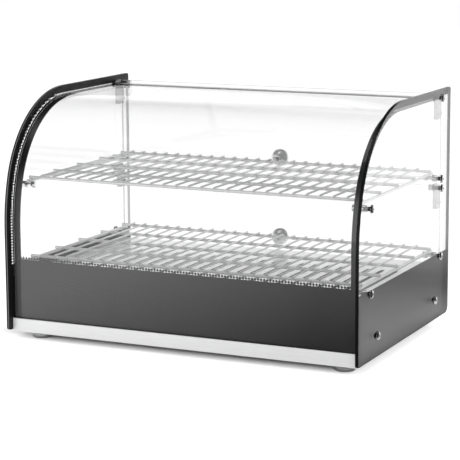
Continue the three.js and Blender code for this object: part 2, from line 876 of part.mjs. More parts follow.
// A pan-headed screw along Y; the shank runs towards +Y when turn is 1 and towards -Y when it is -1.
function panScrew(name, place, turn, radius, headRadiusHere, length) {
  const profile = [
    [0, -screwHeadHeight],
    ...dome(headRadiusHere, 0, screwHeadHeight).map(([across, along]) => [across, -along]).reverse().slice(1),
    [radius, 0],
    [radius, length],
    [0, length],
  ];
  const geometry = turned(profile);
  if (turn < 0) geometry.rotateX(Math.PI);
  return part(name, solidOf(geometry), chrome(), place);
}

function doorKnob(name, z) {
  const neck = Math.acos(knobNeckRadius / knobRadius);
  const ball = arc([0, knobReach], knobRadius, -neck, Math.PI / 2, ballSteps);
  const bore = screwRadius + seat;
  const profile = [[0, knobBoreDepth], [bore, knobBoreDepth], [bore, seat], [knobNeckRadius, seat], ...ball];
  profile.at(-1)[0] = 0;
  const place = [0, doorOffset + doorThickness, z];
  return part(name, solidOf(turned(profile, turnedSides + cornerSteps)), chrome(), place);
}

function flapDoor(label, axisZ, rise, drop, knobRise) {
  const door = new THREE.Group();
  door.position.set(0, hingeY, axisZ);
  const half = innerX - doorSideGap;
  const back = doorOffset + doorThickness;
  const knobZ = knobRise - drop;
  const screwX = outerBlockX - blockWidth / 2;
  const through = [doorOffset - overrun, back + overrun];
  const holes = [bar([0, through[0], knobZ], [0, through[1], knobZ], screwRadius + seat)];
  for (const [sideLabel, side] of sides) {
    const x = side * screwX;
    holes.push(bar([x, through[0], -blockScrewDrop], [x, through[1], -blockScrewDrop], blockScrewRadius + seat));
    const screwLength = doorThickness + seat + blockScrewDepth;
    door.add(hingeBlock(`hinge_block_${label}_${sideLabel}`, side));
    door.add(panScrew(`block_screw_${label}_${sideLabel}`, [x, back + seat, -blockScrewDrop], -1,
      blockScrewRadius, blockScrewHeadRadius, screwLength));
  }
  const pane = block([-half, doorOffset, -drop], [half, back, rise]);
  door.add(part(`door_${label}`, carved(pane, holes), acrylic()));
  door.add(doorKnob(`knob_${label}`, knobZ));
  door.add(panScrew(`knob_screw_${label}`, [0, doorOffset - seat, knobZ], 1, screwRadius, screwHeadRadius,
    doorThickness + knobBoreDepth));
  return door;
}

// Assembly

const displayCase = new THREE.Group();
displayCase.name = 'heated_display_case';
displayCase.position.y = -overallDepth / 2;

displayCase.add(...sides.map(sidePanel), frontGlass());
displayCase.add(frontTrim(), glassBedSeal(), basePan(), heatPlate(), insulationPad());
displayCase.add(...footPlaces.map(foot), ...sides.map(heatingElement));
displayCase.add(elementBracket('front', elementRearY - elementLeg + bracketEndSetback));
displayCase.add(elementBracket('rear', elementRearY - bracketEndSetback));
displayCase.add(rearPanel(), thermostatBody(), thermostatSpindle(), thermostatKnob(), thermostatSensor());
displayCase.add(pilotLamp(), switchHousing(), switchRocker(), cableGland(), terminalBlock(), wiringLoom());
for (const entry of sides) {
  displayCase.add(...studPlaces.map((place) => shelfStud(entry, place)));
  displayCase.add(...screwPlaces.map((place) => baseScrew(entry, place)));
  displayCase.add(gripPivot(entry), plainPivot(entry));
}
displayCase.add(wireShelf('shelf_upper', upperStudZ), wireShelf('shelf_lower', lowerStudZ));
displayCase.add(flapDoor('upper', upperHingeZ, upperDoorRise,
  upperHingeZ - lowerHingeZ - doorParting, upperKnobRise));
displayCase.add(flapDoor('lower', lowerHingeZ, lowerDoorRise,
  lowerHingeZ - deckTop + doorLap, lowerKnobRise));

export default displayCase;
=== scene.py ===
import math

import bmesh
import bpy
import numpy as np
from mathutils import Matrix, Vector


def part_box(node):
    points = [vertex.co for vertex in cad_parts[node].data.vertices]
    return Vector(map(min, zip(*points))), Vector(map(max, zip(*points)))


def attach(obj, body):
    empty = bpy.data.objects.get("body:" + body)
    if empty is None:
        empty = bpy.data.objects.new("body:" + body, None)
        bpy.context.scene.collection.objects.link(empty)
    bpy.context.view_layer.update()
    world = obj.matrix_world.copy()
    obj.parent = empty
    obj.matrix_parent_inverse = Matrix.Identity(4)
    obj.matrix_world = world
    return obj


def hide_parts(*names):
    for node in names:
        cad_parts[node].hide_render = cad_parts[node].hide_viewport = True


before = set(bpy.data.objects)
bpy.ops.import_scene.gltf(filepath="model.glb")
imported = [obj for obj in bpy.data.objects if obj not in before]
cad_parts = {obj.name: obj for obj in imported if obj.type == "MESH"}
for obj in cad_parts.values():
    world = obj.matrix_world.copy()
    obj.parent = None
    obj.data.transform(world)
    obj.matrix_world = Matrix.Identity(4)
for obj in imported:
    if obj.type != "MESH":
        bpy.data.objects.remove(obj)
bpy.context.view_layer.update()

# A countertop heated display case: glass sides, a bent glass front, wire shelves over a slotted warm
# deck, and clear flap doors at the back. Metres, +X right, +Y back, +Z up, the floor at zero.

mm = 0.001
sides = {"left": -1, "right": 1}
levels = ("upper", "lower")
ends = ("front", "rear")

# Side panels: a vertical front edge, a wide lead arc, a tighter bend and a flat top edge
panel_low, panel_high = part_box("side_panel_right")
inner_x, front_y, panel_base = panel_low
outer_x, rear_y, panel_top = panel_high
lead_radius = 271 * mm
bend_radius = 168 * mm
lead_turn = math.radians(16)
toe_corner = 4 * mm
heel_corner = 10 * mm
radius_step = lead_radius - bend_radius
bend_centre = (front_y + lead_radius - radius_step * math.cos(lead_turn), panel_top - bend_radius)
lead_centre = (front_y + lead_radius, bend_centre[1] - radius_step * math.sin(lead_turn))
shank_hole = 3 * mm
arris = 0.45 * mm
face_slack = arris / 3

# Bent front glass
glass_low, glass_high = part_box("front_glass")
glass_thickness = 4 * mm
glass_inset = panel_top - glass_high[2]
mid_inset = glass_inset + glass_thickness / 2
notch_depth = 7 * mm
notch_half = 264 * mm

# Screen print on the glass
side_print_top = 111.3 * mm
side_border = 9 * mm
side_fringe = 6 * mm
front_print_top = 119.5 * mm
front_fringe = 5.6 * mm
front_border = 11.4 * mm
front_margin = 0.25 * mm
border_taper_start = -42 * mm
border_taper_end = 24 * mm
side_pitch = 4.2 * mm
front_pitch = 4.6 * mm
print_softness = 0.5 * mm
side_band_softness = 0.6 * mm
front_band_softness = 0.4 * mm
margin_softness = 0.3 * mm
dot_softness = 0.06
band_cover = 0.7
fringe_cover = 0.6
spare_cover = 0.2

# Fasteners through the side panels
head_radius = 6.2 * mm
head_height = 3.5 * mm
head_rim = 0.8 * mm
seat = 0.3 * mm
socket_mouth = 2.5 * mm
socket_half = 1.7 * mm
socket_depth = 1.4 * mm
socket_flare = 1.08
ease = 0.35 * mm

# Wires of the shelves
frame_wire = 2.5 * mm
mesh_wire = 1.5 * mm
mesh_pitch = 20.1 * mm
mesh_margin = 15 * mm
cross_bars = 5
bar_inset = 10 * mm
bar_overhang = 3 * mm
mesh_overhang = 3 * mm
weld_sink = 0.6 * mm
weld_bulge = 0.35 * mm
weld_width = 1.6 * mm
weld_points = np.array([-2.2, -1.1, -0.5, 0, 0.5, 1.1, 2.2]) * weld_width
wire_play = ease / 8

# Facets of the curves, and the angles in degrees from which an edge shades sharp
lead_steps = 12
bend_steps = 48
corner_steps = 8
hole_steps = 36
head_steps = 36
screw_steps = 24
wire_sides = 12
flat_crease = 15
round_crease = 30

# Limits of the shapes: a least length, an easing's share of a side, an offset's cosine, a weld's reach
tiny = 1e-12
eased_share = 0.45
least_cosine = 0.3
weld_distance = 2e-6


# Shapes: each is a pair of points and faces, worked out on a grid


def arc(centre, radius, start, stop, steps):
    """Points centre + radius (cos a, sin a), the angle a running evenly from start to stop."""
    angle = np.linspace(start, stop, steps + 1)
    return np.column_stack([centre[0] + radius * np.cos(angle), centre[1] + radius * np.sin(angle)])


def bent_edge(inset):
    """The lead arc and then the bend, each about its centre, at an inset from the panels' edge."""
    lead = arc(lead_centre, lead_radius - inset, math.pi, math.pi - lead_turn, lead_steps)
    bend = arc(bend_centre, bend_radius - inset, math.pi - lead_turn, math.pi / 2, bend_steps)
    return np.vstack([lead, bend[1:]])


def eased(points, reach, steps=3, closed=False):
    """Each corner p gives way to the curve (1 - t)^2 a + 2 t (1 - t) p + t^2 b, t from 0 to 1. There a and
    b lie on its two sides at reach from p, or at eased_share of a shorter side."""
    points = np.asarray(points, float)
    ends_of_curve = []
    for neighbours in (np.roll(points, 1, axis=0), np.roll(points, -1, axis=0)):
        way = neighbours - points
        length = np.maximum(np.linalg.norm(way, axis=1, keepdims=True), tiny)
        ends_of_curve.append(points + way / length * np.minimum(reach, eased_share * length))
    t = np.linspace(0, 1, steps + 1)[None, :, None]
    curve = (1 - t) ** 2 * ends_of_curve[0][:, None] + t**2 * ends_of_curve[1][:, None]
    curve = curve + 2 * t * (1 - t) * points[:, None]
    if not closed:
        curve[0] = points[0]
        curve[-1] = points[-1]
    return curve.reshape(-1, points.shape[1])


def lattice(points, close_rows=False, close_columns=False):
    """A grid of points, shape (rows, columns, 3), with a quad between each four neighbours."""
    rows, columns = points.shape[:2]
    row = np.arange(rows if close_rows else rows - 1)
    column = np.arange(columns if close_columns else columns - 1)
    row, column = np.meshgrid(row, column, indexing="ij")
    next_row = (row + 1) % rows
    next_column = (column + 1) % columns
    corners = (row * columns + column, row * columns + next_column,
               next_row * columns + next_column, next_row * columns + column)
    return points.reshape(-1, 3), np.stack(corners, axis=-1).reshape(-1, 4).tolist()


def together(*shapes):
    """Several shapes as one."""
    faces = []
    count = 0
    for points, own in shapes:
        faces += [[corner + count for corner in face] for face in own]
        count += len(points)
    return np.vstack([points for points, _ in shapes]), faces


def turned(profile, place, along, steps, close_rows=False):
    """Place + height * along + radius * (cos a, sin a) across it, for a profile of rows (radius, height).
    A row may have a third number, its flats from 0 to 1: at 1 the ring is a hexagon of that inner radius,
    radius / cos(b), b being the angle from the nearest flat's middle."""
    rows = np.array([[*row, 0.0][:3] for row in profile])
    along = np.array(along, float)
    across = np.roll(along, 1)
    third = np.cross(along, across)
    angle = np.arange(steps) * 2 * math.pi / steps
    half_flat = math.pi / 6
    from_flat = (angle + half_flat) % (2 * half_flat) - half_flat
    radius = rows[:, :1] * (1 + rows[:, 2:] * (1 / np.cos(from_flat) - 1))
    ring = np.cos(angle)[:, None] * across + np.sin(angle)[:, None] * third
    points = np.array(place) + rows[:, 1][:, None, None] * along + radius[:, :, None] * ring
    return lattice(points, close_rows, True)


def tube(path, radius, sides_of_ring, rounding=0.5 * mm):
    """A ring radius (cos a, sin a) carried square to a level path, drawn in to a point at both ends.
    Radius is a number or one for each point of the path."""
    path = np.asarray(path, float)
    radius = np.broadcast_to(radius, len(path))
    way = np.gradient(path, axis=0)
    way /= np.linalg.norm(way, axis=1, keepdims=True)
    level = np.cross(way, (0, 0, 1))
    level /= np.linalg.norm(level, axis=1, keepdims=True)
    upright = np.cross(level, way)
    drawn = 1 - rounding / radius[[0, -1]]
    share = np.concatenate([[0], drawn[:1], np.ones(len(path)), drawn[1:], [0]])
    spread = share * np.concatenate([[radius[0]] * 2, radius, [radius[-1]] * 2])
    middle = np.vstack([path[[0, 0]] - way[0] * rounding, path, path[[-1, -1]] + way[-1] * rounding])
    level = np.vstack([level[[0, 0]], level, level[[-1, -1]]])
    upright = np.vstack([upright[[0, 0]], upright, upright[[-1, -1]]])
    angle = np.arange(sides_of_ring) * 2 * math.pi / sides_of_ring
    ring = np.cos(angle)[None, :, None] * level[:, None] + np.sin(angle)[None, :, None] * upright[:, None]
    return lattice(middle[:, None] + spread[:, None, None] * ring, False, True)


def drawn_in(loop, distance):
    """A closed loop with each point moved by distance along the mean of its two sides' normals, divided by
    the cosine of half their turn. A positive distance moves a loop that runs anticlockwise inwards."""
    loop = np.asarray(loop, float)
    side = np.roll(loop, -1, axis=0) - loop
    side /= np.maximum(np.linalg.norm(side, axis=1, keepdims=True), tiny)
    normal = np.column_stack([-side[:, 1], side[:, 0]])
    mean = normal + np.roll(normal, 1, axis=0)
    mean /= np.linalg.norm(mean, axis=1, keepdims=True)
    return loop + distance * mean / np.maximum((mean * normal).sum(axis=1, keepdims=True), least_cosine)


def anticlockwise(loop):
    """The loop in its anticlockwise order, by the sign of its area, half the sum of x dy - y dx."""
    loop = np.asarray(loop, float)
    after = np.roll(loop, -1, axis=0)
    area = (loop[:, 0] * after[:, 1] - after[:, 0] * loop[:, 1]).sum()
    return loop if area > 0 else loop[::-1]


def plate(loops, low, high, axis, edge=arris):
    """A flat plate from low to high along an axis. The first loop is its outline and the others its holes,
    in the two other axes' order; all are drawn in by edge, filled, and bevelled by edge on both faces."""
    curve = bpy.data.curves.new("plate", "CURVE")
    curve.dimensions = "2D"
    curve.fill_mode = "BOTH"
    curve.extrude = (high - low) / 2 - edge
    curve.bevel_depth = edge
    curve.bevel_resolution = 1
    for number, loop in enumerate(loops):
        loop = drawn_in(anticlockwise(loop), edge if number == 0 else -edge)
        spline = curve.splines.new("POLY")
        spline.points.add(len(loop) - 1)
        flat = np.column_stack([loop, np.zeros(len(loop)), np.ones(len(loop))])
        spline.points.foreach_set("co", flat.ravel())
        spline.use_cyclic_u = True
    holder = bpy.data.objects.new("plate", curve)
    bpy.context.scene.collection.objects.link(holder)
    filled = bpy.data.meshes.new_from_object(holder.evaluated_get(bpy.context.evaluated_depsgraph_get()))
    points = np.empty(3 * len(filled.vertices))
    filled.vertices.foreach_get("co", points)
    points = points.reshape(-1, 3)
    points[:, 2] += (low + high) / 2
    faces = [list(face.vertices) for face in filled.polygons]
    bpy.data.objects.remove(holder)
    bpy.data.curves.remove(curve)
    bpy.data.meshes.remove(filled)
    order = {"x": [2, 0, 1], "y": [0, 2, 1], "z": [0, 1, 2]}[axis]
    return points[:, order], faces


def circle(centre, radius):
    """A closed ring of points about a centre."""
    return arc(centre, radius, 0, 2 * math.pi, hole_steps)[:-1]


def middle_of(node):
    """The middle of a node's box."""
    low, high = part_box(node)
    return np.array([(low[axis] + high[axis]) / 2 for axis in range(3)])


def piece(name, shape, finishes, body, *stands_for, slot, crease=35, choose=None):
    """A named object of a shape on a body, in place of the CAD nodes it stands for: welded, facing outwards,
    smooth but for its creases. choose gives the number of each face's finish from the faces' middles."""
    mesh = bpy.data.meshes.new(name)
    mesh.from_pydata(shape[0].tolist(), [], shape[1])
    work = bmesh.new()
    work.from_mesh(mesh)
    bmesh.ops.remove_doubles(work, verts=work.verts, dist=weld_distance)
    bmesh.ops.recalc_face_normals(work, faces=work.faces)
    work.to_mesh(mesh)
    work.free()
    for finish in finishes if isinstance(finishes, (list, tuple)) else [finishes]:
        mesh.materials.append(finish)
    mesh.shade_smooth()
    mesh.set_sharp_from_angle(angle=math.radians(crease))
    if choose:
        middles = np.empty(3 * len(mesh.polygons))
        mesh.polygons.foreach_get("center", middles)
        mesh.polygons.foreach_set("material_index", choose(middles.reshape(-1, 3)).astype(int))
    made = bpy.data.objects.new(name, mesh)
    bpy.context.scene.collection.objects.link(made)
    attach(made, body)
    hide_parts(*stands_for)
    return made


# Shader maths

# Numbers of a colour mix's sockets: share, first and second colour, and its result
mix_inputs = (0, 6, 7)
mix_output = 2


class Value:
    """A socket of a finish's nodes. Sums, products and powers of values add Math nodes."""

    def __init__(self, nodes, socket):
        self.nodes = nodes
        self.socket = socket

    def math(self, operation, *others):
        return self.nodes.add("ShaderNodeMath", {"operation": operation}, dict(enumerate((self, *others))))

    def __add__(self, other):
        return self.math("ADD", other)

    def __sub__(self, other):
        return self.math("SUBTRACT", other)

    def __rsub__(self, other):
        return self.nodes.add("ShaderNodeMath", {"operation": "SUBTRACT"}, {0: other, 1: self})

    def __mul__(self, other):
        return self.math("MULTIPLY", other)

    def __truediv__(self, other):
        return self.math("DIVIDE", other)

    def __pow__(self, other):
        return self.math("POWER", other)

    __radd__ = __add__
    __rmul__ = __mul__

    def at_least(self, other):
        return self.math("MAXIMUM", other)

    def at_most(self, other):
        return self.math("MINIMUM", other)

    def ramp(self, start, reach):
        """0 before the start and 1 from start + reach on, even between. A negative reach runs down."""
        return ((self - start) / reach).at_least(0.0).at_most(1.0)

    def above(self, edge, softness):
        """0 below the edge and 1 above it, with a ramp as wide as the softness."""
        return self.ramp(edge - softness / 2, softness)

    def below(self, edge, softness):
        """1 below the edge and 0 above it, with a ramp as wide as the softness."""
        return self.ramp(edge + softness / 2, -softness)


class Nodes:
    """The nodes of one material or of the world."""

    def __init__(self, owner):
        owner.use_nodes = True
        self.owner = owner
        self.tree = owner.node_tree

    def add(self, kind, settings=None, values=None, output=0):
        """A node of a kind: its settings first, then the values or links of its sockets."""
        node = self.tree.nodes.new(kind)
        for setting, value in (settings or {}).items():
            setattr(node, setting, value)
        for socket, value in (values or {}).items():
            self.join(node.inputs[socket], value)
        return Value(self, node.outputs[output])

    def join(self, socket, value):
        if isinstance(value, Value):
            self.tree.links.new(value.socket, socket)
        else:
            socket.default_value = value

    def place(self):
        """Object coordinates as a vector."""
        return self.add("ShaderNodeTexCoord", output="Object")

    def axes(self):
        """Object coordinates as three values."""
        split = self.add("ShaderNodeSeparateXYZ", None, {0: self.place()})
        return [Value(self, socket) for socket in split.socket.node.outputs]

    def ray_is(self, kind):
        """1 for rays of a kind, such as Is Camera Ray, and 0 for all others."""
        return self.add("ShaderNodeLightPath", output=kind)

    def noise(self, scale, detail=2.0, stretch=(1.0, 1.0, 1.0)):
        """Noise from 0 to 1 on Object coordinates, scale counting waves in a metre."""
        product = {"operation": "MULTIPLY"}
        stretched = self.add("ShaderNodeVectorMath", product, {0: self.place(), 1: stretch})
        return self.add("ShaderNodeTexNoise", None, {"Vector": stretched, "Scale": scale, "Detail": detail})

    def mixed(self, share, first, second):
        """The first colour where share is 0 and the second where it is 1."""
        sockets = dict(zip(mix_inputs, (share, first, second)))
        return self.add("ShaderNodeMix", {"data_type": "RGBA"}, sockets, mix_output)

    def toned(self, share, tones):
        """The first of two greys where share is 0 and the second where it is 1."""
        return self.mixed(share, grey(tones[0]), grey(tones[1]))

    def bump(self, height, distance):
        """A normal from a height."""
        return self.add("ShaderNodeBump", None, {"Height": height, "Distance": distance})

    def facing(self):
        """0 where the surface faces the viewer and 1 where it is seen edge on, from either side."""
        return self.add("ShaderNodeLayerWeight", None, {"Blend": 0.5}, "Facing")


def finish(name, **constants):
    """A new material's nodes, its Principled shader's own sockets set to the constants."""
    material = bpy.data.materials.new(name)
    nodes = Nodes(material)
    nodes.shader = nodes.tree.nodes["Principled BSDF"].inputs
    for socket, value in constants.items():
        nodes.shader[socket.replace("_", " ")].default_value = value
    return nodes


def feed(nodes, **values):
    """Links values to the Principled shader's sockets and gives the material back."""
    for socket, value in values.items():
        nodes.join(nodes.shader[socket.replace("_", " ")], value)
    return nodes.owner


def grey(level, warmth=0.0):
    """A near grey colour, a little warmer or cooler."""
    return (level * (1 + warmth), level, level * (1 - warmth), 1.0)


# Glass and its print

clear_reflection = 0.04
grazing_reflection = 0.25
schlick_power = 5.0
clear_tint = grey(0.95, warmth=-0.004)
smeared_tint = grey(0.93)
polish_roughness = 0.015
smear_roughness = 0.03
ink_roughness = 0.265
ink_contrast = 0.15
smear_waves = 9.0


def schlick(nodes, straight=clear_reflection):
    """Share of light a clear face throws back: straight + (1 - straight) * facing ^ 5, up to a most."""
    return (nodes.facing() ** schlick_power * (1 - straight) + straight).at_most(grazing_reflection)


def clear_glass(name, straight=clear_reflection):
    """A clear polished face: a mirror where it throws light back, seen through elsewhere."""
    nodes = finish(name, Metallic=1.0)
    smears = nodes.noise(smear_waves, detail=3.0)
    return feed(nodes, Base_Color=nodes.mixed(smears, smeared_tint, clear_tint),
                Roughness=smears * smear_roughness + polish_roughness, Alpha=schlick(nodes, straight))


def printed_glass(name, ink_at, print_gloss, print_level):
    """The glass's inner face: clear, and covered where ink_at gives 1 by a smooth dark print."""
    nodes = finish(name, Specular_IOR_Level=print_gloss)
    ink = ink_at(nodes)
    smears = nodes.noise(smear_waves, detail=3.0)
    grain = nodes.noise(scale=700.0)
    dark = nodes.toned(grain, (print_level * (1 - ink_contrast), print_level * (1 + ink_contrast)))
    polish = smears * smear_roughness + ink * ink_roughness + polish_roughness
    return feed(nodes, Base_Color=nodes.mixed(ink, clear_tint, dark), Metallic=1 - ink, Roughness=polish,
                Alpha=schlick(nodes).at_least(ink))


def halftone(across, up, pitch, cover):
    """Ink of a dot screen: 1 where cover is above the wave (2 + cos across + cos up) / 4."""
    turns = 2 * math.pi / pitch
    wave = (across * turns).math("COSINE") + (up * turns).math("COSINE")
    return (cover - (wave + 2) / 4).above(0.0, dot_softness)


def length_of(first, second):
    """The square root of first^2 + second^2."""
    return (first * first + second * second).math("SQRT")


def bent_inset(y, z):
    """Distance from the panels' bent edge: the lead arc's below the line through both centres, else the
    bend's. An arc's is its radius less the distance from its centre."""
    y_lead = y - lead_centre[0]
    z_lead = z - lead_centre[1]
    y_bend = (y - bend_centre[0]).at_most(0.0)
    z_bend = (z - bend_centre[1]).at_least(0.0)
    lead = lead_radius - length_of(y_lead, z_lead.at_least(0.0))
    bend = bend_radius - length_of(y_bend, z_bend)
    over = (y_lead * math.sin(lead_turn) + z_lead * math.cos(lead_turn)).above(0.0, print_softness)
    return lead * (1 - over) + bend * over


def side_ink(nodes):
    """A border along the bent edge with a dotted fringe, over a plain band at the foot."""
    _, y, z = nodes.axes()
    from_border = side_border + side_fringe - bent_inset(y, z)
    cover = (from_border / side_fringe).at_most(1 + spare_cover).at_least(-spare_cover)
    return halftone(y, z, side_pitch, cover).at_least(z.below(side_print_top, side_band_softness))


def front_ink(nodes):
    """A plain band at the foot, a row of dots over it, and side borders that run out on the top, all with a
    clear margin at the glass's sides."""
    x, y, z = nodes.axes()
    rise = front_print_top - z
    band = rise.above(0.0, front_band_softness)
    fringe = rise.above(-front_fringe, front_band_softness)
    dots = halftone(x, rise, front_pitch, band * band_cover + fringe * fringe_cover - spare_cover / 2)
    run_out = y.ramp(border_taper_end, border_taper_start - border_taper_end)
    from_side = glass_high[0] - front_margin - x.math("ABSOLUTE")
    border = (run_out * front_border - from_side).above(0.0, print_softness)
    return dots.at_least(border) * from_side.above(0.0, margin_softness)


def ground(name, gloss, roughness, tone_at):
    """A ground edge: its grinding shows in roughness and height, and its tone is tone_at(nodes, grind)."""
    nodes = finish(name, Specular_IOR_Level=gloss)
    grind = nodes.noise(scale=1500.0)
    return feed(nodes, Base_Color=tone_at(nodes, grind), Roughness=(grind + 1) * roughness,
                Normal=nodes.bump(grind, distance=0.02 * mm))


def panel_edge(nodes, grind):
    """Dark along the print, with a painted highlight as a thin pale line on the left panel, and grey where
    the glass is bare: painted pale on the left panel and painted dark on the right, as light falls on each."""
    x, y, z = nodes.axes()
    bare = y.above(rear_y - 2 * mm, print_softness) * z.above(side_print_top, 2 * print_softness)
    # Painted highlight: a thin pale line along the left panel's edge.
    painted_highlight = (x + inner_x + 1.9 * mm).math("ABSOLUTE").below(0.7 * mm, print_softness)
    dark = nodes.mixed(painted_highlight, nodes.toned(grind, (0.003, 0.01)), grey(0.16))
    # Painted light: the bare edge is painted pale on the left panel and dark on the right.
    left = nodes.toned(grind, (0.55, 0.68))
    right = nodes.toned(grind, (0.09, 0.15))
    return nodes.mixed(bare, dark, nodes.mixed(x.above(0.0, inner_x), left, right))


def front_edge(nodes, grind):
    """A painted reflection at the rear: pale over dark through the thickness there, dark elsewhere."""
    x, _, z = nodes.axes()
    # Painted reflection: the upper part of the rear edge's thickness is pale.
    painted_reflection = z.above(glass_high[2] - 1.5 * mm, front_band_softness)
    inside = x.math("ABSOLUTE").below(notch_half, print_softness)
    return nodes.mixed(painted_reflection * inside, nodes.toned(grind, (0.004, 0.012)), nodes.toned(grind, (0.5, 0.62)))


def acrylic_edge(name, level, alpha):
    """Cut edges and blocks of the clear doors, less clear where they are seen edge on."""
    nodes = finish(name, Specular_IOR_Level=0.5)
    saw = nodes.noise(scale=900.0, stretch=(1.0, 1.0, 0.25))
    return feed(nodes, Base_Color=nodes.toned(saw, (level * 0.85, level)), Roughness=saw * 0.15 + 0.08,
                Alpha=(nodes.facing() * 0.4 + alpha).at_most(1.0))


# Metals, plastics and the rest

clouded_share = 0.93
strokes_along_x = (1.0, 60.0, 60.0)
strokes_along_y = (60.0, 1.0, 60.0)
plastic_waves = 1800.0
plastic_depth = 0.015 * mm
grain_roughness = 0.15

# Marks of the dial, a tick's half width as a share of the space from tick to tick
tick_count = 24
tick_half_share = 0.09
tick_softness = 0.03
tick_start = 13 * mm
pointer_half = 0.8 * mm
pointer_start = 3 * mm
pointer_softness = 0.3 * mm
mark_softness = 0.2 * mm
mark_depth = 6 * mm
dial_tones = (0.018, 0.75)
dial_roughness = 0.35


def polished(name, level, roughness, spread, metal=1.0):
    """Plated metal with faint buffing: noise in its colour and its roughness."""
    nodes = finish(name, Metallic=metal)
    cloud = nodes.noise(scale=160.0, detail=3.0)
    buff = nodes.noise(scale=2600.0, stretch=(1.0, 1.0, 0.2))
    tone = nodes.mixed(cloud, grey(level * clouded_share), grey(level, warmth=-0.01))
    return feed(nodes, Base_Color=tone, Roughness=buff * spread + roughness,
                Normal=nodes.bump(buff, distance=0.004 * mm))


def brushed(name, level, metal, roughness, stretch=strokes_along_x, contrast=0.12):
    """Sheet steel brushed along one axis: fine noise stretched along the strokes."""
    nodes = finish(name, Metallic=metal)
    strokes = nodes.noise(scale=34.0, detail=4.0, stretch=stretch)
    broad = nodes.noise(scale=7.0)
    tone = nodes.mixed(strokes, grey(level * (1 - contrast)), grey(level * (1 + contrast), warmth=-0.006))
    tone = nodes.mixed(broad * 0.25, tone, grey(level * clouded_share))
    return feed(nodes, Base_Color=tone, Roughness=strokes * 0.14 + roughness,
                Normal=nodes.bump(strokes, distance=0.01 * mm))


def moulded(name, colour, other, roughness, grain_waves=plastic_waves, depth=plastic_depth, gloss=0.5):
    """Plastic, rubber or ceramic: a fine grain in height and roughness, and a slow drift of its colour."""
    nodes = finish(name, Specular_IOR_Level=gloss)
    grain = nodes.noise(grain_waves, detail=3.0)
    drift = nodes.noise(scale=30.0)
    return feed(nodes, Base_Color=nodes.mixed(drift, colour, other),
                Roughness=grain * grain_roughness + roughness, Normal=nodes.bump(grain, depth))


def element_sheath():
    """A heating element's sheath, dark from heat, with straw and blue tints in slow patches."""
    nodes = finish("heat darkened sheath", Metallic=1.0)
    patch = nodes.noise(scale=22.0, detail=4.0)
    straw = (0.2, 0.17, 0.13, 1.0)
    blue = (0.15, 0.17, 0.2, 1.0)
    return feed(nodes, Base_Color=nodes.mixed(patch, straw, blue), Roughness=(patch + 1) * 0.3,
                Normal=nodes.bump(patch, distance=0.02 * mm))


def wool_finish():
    """Pressed mineral wool: fibres as noise stretched two ways."""
    nodes = finish("mineral wool", Specular_IOR_Level=0.2)
    stretches = ((1.0, 0.15, 1.0), (0.15, 1.0, 1.0))
    fibres = sum(nodes.noise(scale=260.0, detail=6.0, stretch=stretch) * 0.5 for stretch in stretches)
    shade = (0.55, 0.53, 0.47, 1.0)
    light = (0.85, 0.83, 0.76, 1.0)
    return feed(nodes, Base_Color=nodes.mixed(fibres, shade, light), Roughness=fibres * 0.1 + 0.85,
                Normal=nodes.bump(fibres, distance=0.4 * mm))


def dial_finish(centre):
    """The thermostat's dial: black plastic with a pale pointer line and tick marks round its skirt."""
    nodes = finish("marked dial plastic", Specular_IOR_Level=0.45)
    grain = nodes.noise(plastic_waves, detail=3.0)
    x, y, z = nodes.axes()
    across = x - centre[0]
    up = z - centre[2]
    turn = up.math("ARCTAN2", across) / (2 * math.pi)
    from_tick = (turn * tick_count + 0.5).math("FRACT").math("SUBTRACT", 0.5).math("ABSOLUTE")
    ticks = from_tick.below(tick_half_share, tick_softness)
    ticks = ticks * length_of(across, up).above(tick_start, mark_softness)
    pointer = across.math("ABSOLUTE").below(pointer_half, mark_softness)
    pointer = pointer * up.above(pointer_start, pointer_softness)
    marks = ticks.at_least(pointer) * y.above(centre[1] - mark_depth, mark_softness)
    return feed(nodes, Base_Color=nodes.toned(marks, dial_tones),
                Roughness=grain * grain_roughness + dial_roughness, Normal=nodes.bump(grain, plastic_depth))


glass_face = clear_glass("clear tempered glass")
side_print = printed_glass("printed side glass", side_ink, print_gloss=0.12, print_level=0.01)
front_print = printed_glass("printed front glass", front_ink, print_gloss=1.0, print_level=0.007)
panel_rim = ground("ground panel edge", gloss=0.15, roughness=0.12, tone_at=panel_edge)
front_rim = ground("ground front glass edge", gloss=0.6, roughness=0.1, tone_at=front_edge)
acrylic_face = clear_glass("clear acrylic", straight=0.035)
acrylic_rim = acrylic_edge("cut acrylic edge", level=0.5, alpha=0.55)
block_face = acrylic_edge("clear acrylic block", level=0.42, alpha=0.3)
chrome = polished("polished chrome", level=0.78, roughness=0.05, spread=0.08)
knob_chrome = polished("polished knob", level=0.8, roughness=0.07, spread=0.08, metal=0.7)
# Painted shade: the feet get a darker copy of the polished chrome, as they sit in the case's shade.
shaded_foot_chrome = polished("turned foot steel", level=0.5, roughness=0.03, spread=0.05)
wire_chrome = polished("plated wire", level=0.76, roughness=0.2, spread=0.14, metal=0.42)
trim_steel = brushed("brushed trim steel", level=0.86, metal=0.25, roughness=0.34)
deck_steel = brushed("bright deck steel", level=0.93, metal=0.28, roughness=0.12, stretch=strokes_along_y,
                     contrast=0.05)
pan_steel = brushed("mill finish pan steel", level=0.62, metal=0.5, roughness=0.3)
rear_steel = brushed("brushed rear panel steel", level=0.62, metal=0.7, roughness=0.28)
rubber = moulded("black seal rubber", grey(0.012), grey(0.02), roughness=0.7, grain_waves=900.0,
                 depth=0.03 * mm, gloss=0.3)
loom_sleeve = moulded("braided loom sleeve", grey(0.014), grey(0.03), roughness=0.75, grain_waves=1400.0,
                      depth=0.05 * mm, gloss=0.3)
black_plastic = moulded("moulded black plastic", grey(0.012), grey(0.019), roughness=0.34)
ceramic = moulded("glazed ceramic", (0.78, 0.76, 0.71, 1.0), (0.82, 0.8, 0.76, 1.0), roughness=0.22,
                  grain_waves=400.0)
